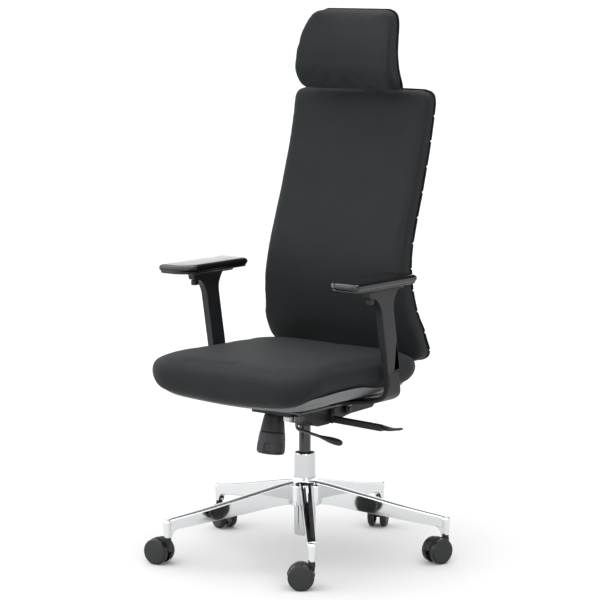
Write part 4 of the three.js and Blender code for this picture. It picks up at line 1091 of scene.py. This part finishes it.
# ---- backrest -------------------------------------------------------------------------------
class Panel:
    """A padded panel that curves in height and across: a cushion in front of a thin shell."""

    def __init__(self, line, half, thick, shell, wrap):
        self.line, self.half = curve_through(line), curve_through(half)
        self.thick, self.shell, self.wrap = thick, shell, wrap
        self.bottom, self.top = half[0][0], half[-1][0]

    def middle(self, u, z):
        return self.line(z) + self.wrap * (1 - u * u)

    def seam(self, u, z):
        """Depth of the line where cushion and shell meet at the rim."""
        return self.middle(u, z) + self.thick / 2 - self.shell

    def rear(self, u, z):
        return self.middle(u, z) + self.thick / 2


BACK = Panel([(450, 184), (480, 167.5), (520, 147.5), (560, 134.5), (600, 124.5), (640, 119.5), (680, 120.5),
              (720, 127.5), (760, 139.5), (800, 152.5), (840, 166.5), (880, 178.5), (920, 190.5),
              (960, 201.5), (1000, 210.5), (1040, 218.5), (1084.5, 225)],
             [(450, 174), (452, 190), (456, 202), (468, 220), (490, 229), (530, 229), (560, 221), (600, 215),
              (640, 211), (680, 207), (720, 204), (800, 202), (900, 201), (1000, 200.5), (1050, 200.5),
              (1068, 197), (1079, 187), (1084.5, 167)], 42, 6, 12)
HEAD = Panel([(1079.5, 178), (1100, 167.5), (1120, 158.5), (1140, 154.5), (1160, 154.5), (1180, 157.5),
              (1200, 162.5), (1220, 169.5), (1240, 177.5), (1256, 183.5), (1270, 187.5)],
             [(1079.5, 124), (1081.5, 132), (1086, 138), (1096, 142), (1112, 143), (1140, 141.5), (1170, 138),
              (1200, 134), (1220, 130.5), (1240, 125), (1256, 117), (1266, 104), (1270, 90)], 42, 6, 14)


def spread(count, power=0.5):
    """Values from -1 to 1, closer together at the ends."""
    return [lerp(v, math.sin(v * math.pi / 2), power) for v in (-1 + 2 * k / count for k in range(count + 1))]


def heights_of(panel, step, extra=()):
    """Row heights up a panel, close together in its round ends and round any extra heights."""
    size = panel.top - panel.bottom
    made = {round(panel.bottom + size * (v + 1) / 2, 3) for v in spread(int(size / step), 0.9)}
    made |= {z + d for z in extra for d in (-5, -3.2, -1.9, -0.9, 0, 0.9, 1.9, 3.2, 5)}
    kept = []
    for z in sorted(z for z in made if panel.bottom <= z <= panel.top):
        if not kept or z - kept[-1] > 0.6:
            kept.append(z)
    return kept


def panel_cushion(name, panel, round_mm, swell_mm, fill_mm, neck=None):
    """The panel's cushion: a flat rear face on the shell, rolled sides, a crowned front and any neck roll."""
    us = spread(30, 0.85)
    rows = []
    full = panel.thick - panel.shell
    for z in heights_of(panel, 9):
        half = panel.half(z)
        ends = min(z - panel.bottom, panel.top - z)
        front, back = [], []
        for u in us:
            edge = half * (1 - abs(u))
            near = min(edge, ends) + 0.25 * max(0.0, 6 - abs(edge - ends))
            t = clamp01(near / round_mm)
            roll = math.sqrt(max(0.0, 1 - (1 - t) ** 2))
            pad = full * lerp(0.7, 1, roll) - 1.5
            pad += fill_mm * clamp01(near / 90) ** 1.5
            if neck:
                pad += 4 * t * math.exp(-((z - neck) / 20) ** 2)
            front.append(at(u * (half + 1.6), panel.seam(u, z) - pad, z))
            back.append(at(u * (half + 1.6), panel.seam(u, z) - 0.3, z))
        rows.append(front + back[::-1])
    thing = solid(name, [loft(rows)], FABRIC, sharp=180)

    def cap(place):
        x, z = (place.x - AXIS_X) / MM, place.z / MM
        depth = panel.seam(clamp01(abs(x) / max(panel.half(z), 1)), z) - (place.y - AXIS_Y) / MM
        return lerp(0.15, swell_mm, ease(depth, 2, 9)) * MM

    return stuffed(thing, 5.5, 4, cap)


LOUVRES = [1024, 966, 908, 850, 792, 734, 676, 626, 576, 526, 482]  # heights of the shell's grooves, mm


def groove(z):
    """How deep the nearest groove is at a height."""
    return max([math.exp(-((z - g) / 1.9) ** 2) for g in LOUVRES])


def panel_shell(panel, grooves):
    """The moulded shell behind a cushion, with a rolled rim and the grooves across its back."""
    us = spread(36, 0.8)
    rows = []
    for z in heights_of(panel, 8, LOUVRES if grooves else ()):
        notch = grooves * groove(z) if grooves else 0.0
        half = panel.half(z) - 0.75 * notch
        ends = clamp01(min(z - panel.bottom, panel.top - z) / 6)
        front, back = [], []
        for u in us:
            edge = clamp01(half * (1 - abs(u)) / 6)
            roll = math.sqrt(max(0.0, 1 - (1 - min(edge, 1) * 1.0) ** 2)) * lerp(0.5, 1, ends)
            front.append(at(u * half, panel.seam(u, z) + 0.3, z))
            deep = (panel.shell - 0.3) * lerp(0.45, 1, roll)
            back.append(at(u * half, panel.seam(u, z) + 0.3 + deep - notch, z))
        rows.append(front + back[::-1])
    return [loft(rows)]


def seam_row(name, cover, panel, inset):
    """Stitches that hold the front panel of the cover to its side band, a little in from the edge."""
    tree = surface_tree(cover)
    low, high = panel.bottom + inset, panel.top - inset
    heights = [lerp(low, high, k / 90) for k in range(91)]
    right = [(panel.half(z) - inset, z) for z in heights]
    top = [(x * right[-1][0], high) for x in spread(40, 0)][::-1][1:-1]
    left = [(-x, z) for x, z in reversed(right)]
    bottom = [(x * right[0][0], low) for x in spread(40, 0)][1:-1]
    points = []
    for x, z in right + top + left + bottom:
        hit = tree.ray_cast(at(x, -200, z), Vector((0, 1, 0)))[0]
        if hit:
            points.append(hit + Vector((0, 0.05 * MM, 0)))
    return stitched(name, points, 4.2, THREAD_DARK)


HEAD_LEAN = math.radians(10.6)
STEM_Y = BACK.rear(0, 1040) + 5.5


def on_stem(p):
    """A point in the headrest stem's own leaning frame, at its place."""
    return at(p[0], STEM_Y + p[1] * math.cos(HEAD_LEAN) + p[2] * math.sin(HEAD_LEAN),
              1040 - p[1] * math.sin(HEAD_LEAN) + p[2] * math.cos(HEAD_LEAN))


def keeper():
    """The guide behind the shell's top that the headrest's stem slides in: two cheeks and a bridge."""
    shells = []
    for side in (-1, 1):
        cheek = rounded_outline([(side * 32.4, -16), (side * 41.5, -16), (side * 41.5, 8.8),
                                 (side * 32.4, 8.8)], 2)
        shells.append(slab(cheek, -72, -8, lambda a, b, depth: on_stem((a, b, depth)), edge=1.5))
    bridge = rounded_outline([(-41, 4.5), (41, 4.5), (41, 9), (-41, 9)], 1.5)
    shells.append(slab(bridge, -72, -8, lambda a, b, depth: on_stem((a, b, depth)), edge=1.2))
    return shells


back_shell = solid("backrest_shell", panel_shell(BACK, 2.6) + keeper(), NYLON, sharp=50)
show(back_shell, "back", "black_nylon", "back_shell")
back_cover = panel_cushion("backrest_cover", BACK, 12, 4, 2.5)
show(back_cover, "back", "charcoal_fabric", "back_cushion")
show(seam_row("backrest_stitching", back_cover, BACK, 11), "back", "charcoal_fabric")


def yoke():
    """A forked arm from the rear pivot, back under the seat and up behind the shell."""
    behind = [Vector((0, BACK.rear(0, z) + 11, z)) for z in (480, 520, 560, 600, 640)]
    line = [Vector((0, 168.5, 341.5)), Vector((0, 196, 344)), Vector((0, 226, 362)), Vector((0, 239, 395)),
            Vector((0, 238, 435))] + behind
    rows = []
    for k, (centre, way) in enumerate(path_through(line, 72)):
        t = k / 72
        half_width = lerp(65.5, 42, ease(t, 0.1, 0.7))
        section = rounded_outline([(-half_width, -10), (half_width, -10), (half_width * 0.97, 8.4),
                                   (0, 10, 60), (-half_width * 0.97, 8.4)], 4.5, steps=6)
        shrink = 1 - 0.5 * ease(t, 0.985, 1)
        rows.append([at(a * lerp(1, 0.94, ease(t, 0.97, 1)), centre.y + b * shrink * way.z,
                        centre.z - b * shrink * way.y) for a, b in section])
    y, z = 88, 337
    cheek = rounded_outline([(y - 12, z - 12, 9), (178, 328, 6), (188, 338, 6), (188, 352, 4), (172, 352, 6),
                             (y + 4, z + 12, 6), (y - 12, z + 11, 9)], 6)
    shells = [loft(rows)]
    for low, high in ((58.5, 65.5), (-65.5, -58.5)):
        shells.append(slab(cheek, low, high, lambda a, b, depth: at(depth, a, b), edge=1.6))
    return solid("back_yoke_casting", shells, POWDER_BLACK, sharp=40)


show(yoke(), "back", "black_casting", "back_yoke")

# ---- headrest -------------------------------------------------------------------------------
HINGE_Y, HINGE_Z = -68, 100


def headrest_lugs():
    shells = []
    for side in (-1, 1):
        x = side * 23.3
        plate = rounded_outline([(HINGE_Y - 30, HINGE_Z - 7.5), (HINGE_Y + 7.5, HINGE_Z - 7.5, 7),
                                 (HINGE_Y + 7.5, HINGE_Z + 7.5, 7), (HINGE_Y - 30, HINGE_Z + 7.5)], 2)
        shells.append(slab(plate, x - 3, x + 3, lambda a, b, depth: on_stem((depth, a, b)), edge=1))
    return shells


show(solid("headrest_back_shell", panel_shell(HEAD, 0) + headrest_lugs(), NYLON, sharp=50),
     "headrest", "black_nylon", "headrest_shell")
head_cover = panel_cushion("headrest_cover", HEAD, 12, 4, 1.5, neck=1122)
show(head_cover, "headrest", "charcoal_fabric", "headrest_cushion")
show(seam_row("headrest_stitching", head_cover, HEAD, 10), "headrest", "charcoal_fabric")


def headrest_bracket():
    """A flat stem that slides behind the back shell and hooks forward to the headrest's hinge."""
    hook = rounded_outline([(-4, -95, 1), (4, -95, 1), (4, 70, 14), (-8, 92, 14), (-32, 105.5, 8),
                            (-66, 106, 2), (-66, 95, 2), (-34, 93.5, 8), (-15, 82, 12), (-4, 62, 12)], 6)
    shells = [slab(hook, -32, 32, lambda a, b, depth: on_stem((depth, a, b)), edge=0.8)]
    knuckle = lathe([(3.8, -20), (7, -20), (8, -19), (8, 19), (7, 20), (3.8, 20)], 40,
                    lambda p: on_stem((p.z, HINGE_Y + p.x, HINGE_Z + p.y)))
    return solid("headrest_hook", shells + [knuckle], POWDER_BLACK, sharp=40)


show(headrest_bracket(), "headrest_slider", "black_casting", "headrest_bracket")

# ---- armrests -------------------------------------------------------------------------------
ARM_LEAN = math.radians(10)
ARM_FOOT = (258.5, -14, 461)
TRIGGER_Y = -92


def arm_side(side, word):
    def leaning(x, y, z):
        return at(side * (ARM_FOOT[0] + x), ARM_FOOT[1] + y * math.cos(ARM_LEAN) - z * math.sin(ARM_LEAN),
                  ARM_FOOT[2] + y * math.sin(ARM_LEAN) + z * math.cos(ARM_LEAN))

    # the bracket: a flat bar from under the seat, bent up into the post that the sleeve slides on
    def up(rise):
        return Vector((ARM_FOOT[0], ARM_FOOT[1] - rise * math.tan(ARM_LEAN), ARM_FOOT[2] + rise))

    line = [Vector(p) for p in ((90, 14, 371.5), (112, 14, 372.5), (150, 12, 376), (200, 6, 384.5),
                                (235, 0, 394), (253, -4, 406))] + [up(-36), up(-18), up(-1.2)]
    rows = []
    for k, (centre, way) in enumerate(path_through(line, 60)):
        t = k / 60
        thick = lerp(4.5, 8.7, ease(t, 0.55, 0.82))
        wide = lerp(30, 19, ease(t, 0.55, 0.88))
        across = Vector((way.z, 0, -way.x)).normalized()
        section = rounded_outline([(-thick, -wide), (thick, -wide), (thick, wide), (-thick, wide)], 3.2,
                                  steps=4)
        rows.append([at(side * (centre.x + a * across.x), centre.y + b, centre.z + a * across.z)
                     for a, b in section])
    post = slab(rounded_outline([(-6, -15), (6, -15), (6, 15), (-6, 15)], 2.4), -20, 118, leaning, edge=1)
    foot = slab(rounded_outline([(82, -14), (122, -14), (122, 42), (82, 42)], 4), 367.4, 372.2,
                lambda a, b, depth: at(side * a, b, depth), edge=0.8)
    bracket = solid(f"arm_bar_{word}", [loft(rows), post, foot], POWDER_BLACK, sharp=40)
    show(bracket, "seat", "black_casting", f"arm_bracket_{word}")

    # the sleeve: a solid upright that flares into a T under the pad
    outline = rounded_outline([(-20, 0, 2.2), (24, 0, 2.2), (24, 156, 18), (44, 181, 9), (56, 183.4, 2.2),
                               (-59, 203.6, 2.4), (-57.6, 188.5, 2.8), (-34, 181, 9), (-20, 156, 18)], 3,
                              steps=8)
    head = slab(outline, -9.5, 9.5, lambda a, b, depth: leaning(depth, a, b), edge=1.7, segments=3)
    sleeve = solid(f"arm_sleeve_moulding_{word}", [head], ARM_NYLON, sharp=50)
    show(sleeve, f"arm_{word}", "black_nylon", f"arm_sleeve_{word}")

    button = slab(rounded_outline([(-6.5, -8), (6.5, -8), (6.5, 8), (-6.5, 8)], 3), 623, 635,
                  lambda a, b, depth: at(side * ARM_FOOT[0] + a, TRIGGER_Y + b, depth), edge=1.6)
    key = slab(rounded_outline([(-4.5, -6), (4.5, -6), (4.5, 6), (-4.5, 6)], 2), 633, 644.5,
               lambda a, b, depth: at(side * ARM_FOOT[0] + a, TRIGGER_Y + b, depth), edge=0.5)
    trigger = solid(f"arm_trigger_button_{word}", [button, key], NYLON)
    show(trigger, f"arm_trigger_{word}", "black_nylon", f"arm_trigger_{word}")

    plate = rim(29, 75, 20, WALK)
    base = slab(plate, 652.4, 660.6, lambda a, b, depth: at(side * 251 + a, -58 + b, depth), edge=1.5)
    show(solid(f"arm_pad_carrier_{word}", [base], NYLON), f"arm_pad_base_{word}", "black_nylon",
         f"arm_pad_base_{word}")

    pad = arm_pad(f"arm_pad_cap_{word}", side)
    show(pad, f"arm_pad_{word}", "soft_pad", f"arm_pad_{word}")


PAD_X, PAD_Y, PAD_HALF_WIDTH, PAD_HALF_DEPTH = 247, -70, 46, 120


def arm_pad(name, side):
    """A moulded soft pad: a rim that hangs below its flat underside, a faint crown and a parting line.

    The rim reaches 1.8 mm below the carrier's top, so it cuts the carrier with the pad fully forward.
    """
    low, high = 661, 680.2
    sections = [(0, 14), (-2.2, 9), (-1.7, 6), (-0.3, 4.4), (2, 4), (2.7, 4.5), (3.4, 3.6), (6, 1.4),
                (9.5, 0.4), (12.5, 0.4), (15.2, 1.7), (17, 3.9), (18.2, 7), (18.8, 11)]
    corners = (16, 24, 46, 16)  # the inner front corner is swept, for the sitter's knee and forearm

    def ring(inset, share, height):
        outline = rim(PAD_HALF_WIDTH - inset, PAD_HALF_DEPTH - inset,
                      [max(c - inset * 0.8, 3) for c in corners], WALK)
        return [at(side * (PAD_X + p.x * share), PAD_Y + p.y * share, height)
                for p in outline]

    rows = [ring(14, share, low) for share in (0.02, 0.5)]
    rows += [ring(inset, 1, low + rise) for rise, inset in sections]
    rows += [ring(11, share, high - 0.4 * share ** 2) for share in (0.85, 0.65, 0.4, 0.15, 0.02)]
    return solid(name, [loft(rows)], PAD_SKIN, sharp=60)


arm_side(1, "left")
arm_side(-1, "right")

# ---- fixings --------------------------------------------------------------------------------
DOWN = Vector((0, 0, -1))
seat_screws = [(at(x, y, 362), DOWN) for x in (-90, 90) for y in (-130, 60, 136)]
show(set_at("seat_plate_screws", SCREW, seat_screws, BRIGHT_STEEL), "seat", "bright_steel")
bracket_screws = [(at(side * x, y, 366.5), DOWN) for side in (-1, 1) for x, y in ((128, 6), (128, 24))]
show(set_at("arm_bar_screws", SCREW, bracket_screws, BRIGHT_STEEL), "seat", "bright_steel")
yoke_screws = [(at(x, BACK.rear(0, z) + 20.4, z), Vector((0, 1, -0.1)))
               for x in (-24, 24) for z in (520, 610)]
show(set_at("yoke_screws", SCREW, yoke_screws, BRIGHT_STEEL), "back", "bright_steel")
for side, word in ((1, "left"), (-1, "right")):
    pad_screws = [(at(side * 251, y, 652.4), DOWN) for y in (-118, 0)]
    show(set_at(f"arm_pad_screws_{word}", SCREW, pad_screws, BRIGHT_STEEL), f"arm_pad_base_{word}",
         "bright_steel")
bpy.data.objects.remove(SCREW)

# ---- floor, light and camera ----------------------------------------------------------------
def studio():
    """A wide pale floor under an overhead silk, a bright horizon that darkens upwards and two soft boxes."""
    floor_mesh = bpy.data.meshes.new("studio_floor")
    far = 80.0
    floor_mesh.from_pydata([(-far, -far, 0), (far, -far, 0), (far, far, 0), (-far, far, 0)], [],
                           [(0, 1, 2, 3)])
    floor = bpy.data.objects.new("studio_floor", floor_mesh)
    scene.collection.objects.link(floor)
    # the paint is a mid tone under strong light, so little of it comes back up to the object
    paint, _, _ = surface("matt_floor_paint", "#c2c2c2", Roughness=0.9)
    floor_mesh.materials.append(paint)

    world = bpy.data.worlds.new("studio_air")
    scene.world = world
    world.use_nodes = True
    tree = world.node_tree
    place = node(tree, "ShaderNodeTexCoord")
    axes = node(tree, "ShaderNodeSeparateXYZ", [("Vector", place, "Generated")])
    ramp = node(tree, "ShaderNodeValToRGB", [("Fac", axes, "Z")])
    stops = ramp.color_ramp.elements
    stops[0].position, stops[0].color = 0.0, (1.0, 1.0, 1.0, 1)
    stops[1].position, stops[1].color = 0.55, (0.018, 0.0185, 0.019, 1)
    for height, level in ((0.08, 1.0), (0.22, 0.7), (0.36, 0.15)):
        stops.new(height).color = (level, level, level, 1)
    air = tree.nodes["Background"]
    tree.links.new(ramp.outputs["Color"], air.inputs["Color"])
    air.inputs["Strength"].default_value = 1.7

    sky = bpy.data.lights.new("silk_overhead", "SUN")
    sky.energy = 6.3
    sky.angle = math.radians(120)
    silk = bpy.data.objects.new("silk_overhead", sky)
    scene.collection.objects.link(silk)
    silk.rotation_euler = Vector((0.1, 0.26, -1)).to_track_quat("-Z", "Y").to_euler()
    for name, place, target, size, power in (
            ("front_left_box", (-2.4, -2.9, 1.1), (0, 0, 0.7), (1.6, 1.0), 8),
            ("right_box", (2.9, -2.3, 1.0), (0, 0, 0.7), (1.0, 1.0), 18)):
        light = bpy.data.lights.new(name, "AREA")
        light.shape = "RECTANGLE"
        light.size, light.size_y = size
        light.energy = power
        lamp = bpy.data.objects.new(name, light)
        scene.collection.objects.link(lamp)
        lamp.location = place
        lamp.rotation_euler = (Vector(target) - Vector(place)).to_track_quat("-Z", "Y").to_euler()


def camera():
    """The camera stands 5.5 m off, 38.5 degrees round from the front and 8.2 degrees up."""
    turn, rise, distance, aim = math.radians(38.5), math.radians(8.23), 5.5, Vector((AXIS_X, AXIS_Y, 0.6))
    back = Vector((math.sin(turn) * math.cos(rise), -math.cos(turn) * math.cos(rise), math.sin(rise)))
    data = bpy.data.cameras.new("studio_camera")
    data.sensor_width = 36.0
    data.lens = 141.9
    data.shift_x = -0.0081
    data.clip_start, data.clip_end = 0.1, 400.0
    view = bpy.data.objects.new("studio_camera", data)
    scene.collection.objects.link(view)
    view.location = aim + back * distance
    view.rotation_euler = (-back).to_track_quat("-Z", "Y").to_euler()
    scene.camera = view


studio()
camera()
scene.view_settings.view_transform = "Standard"
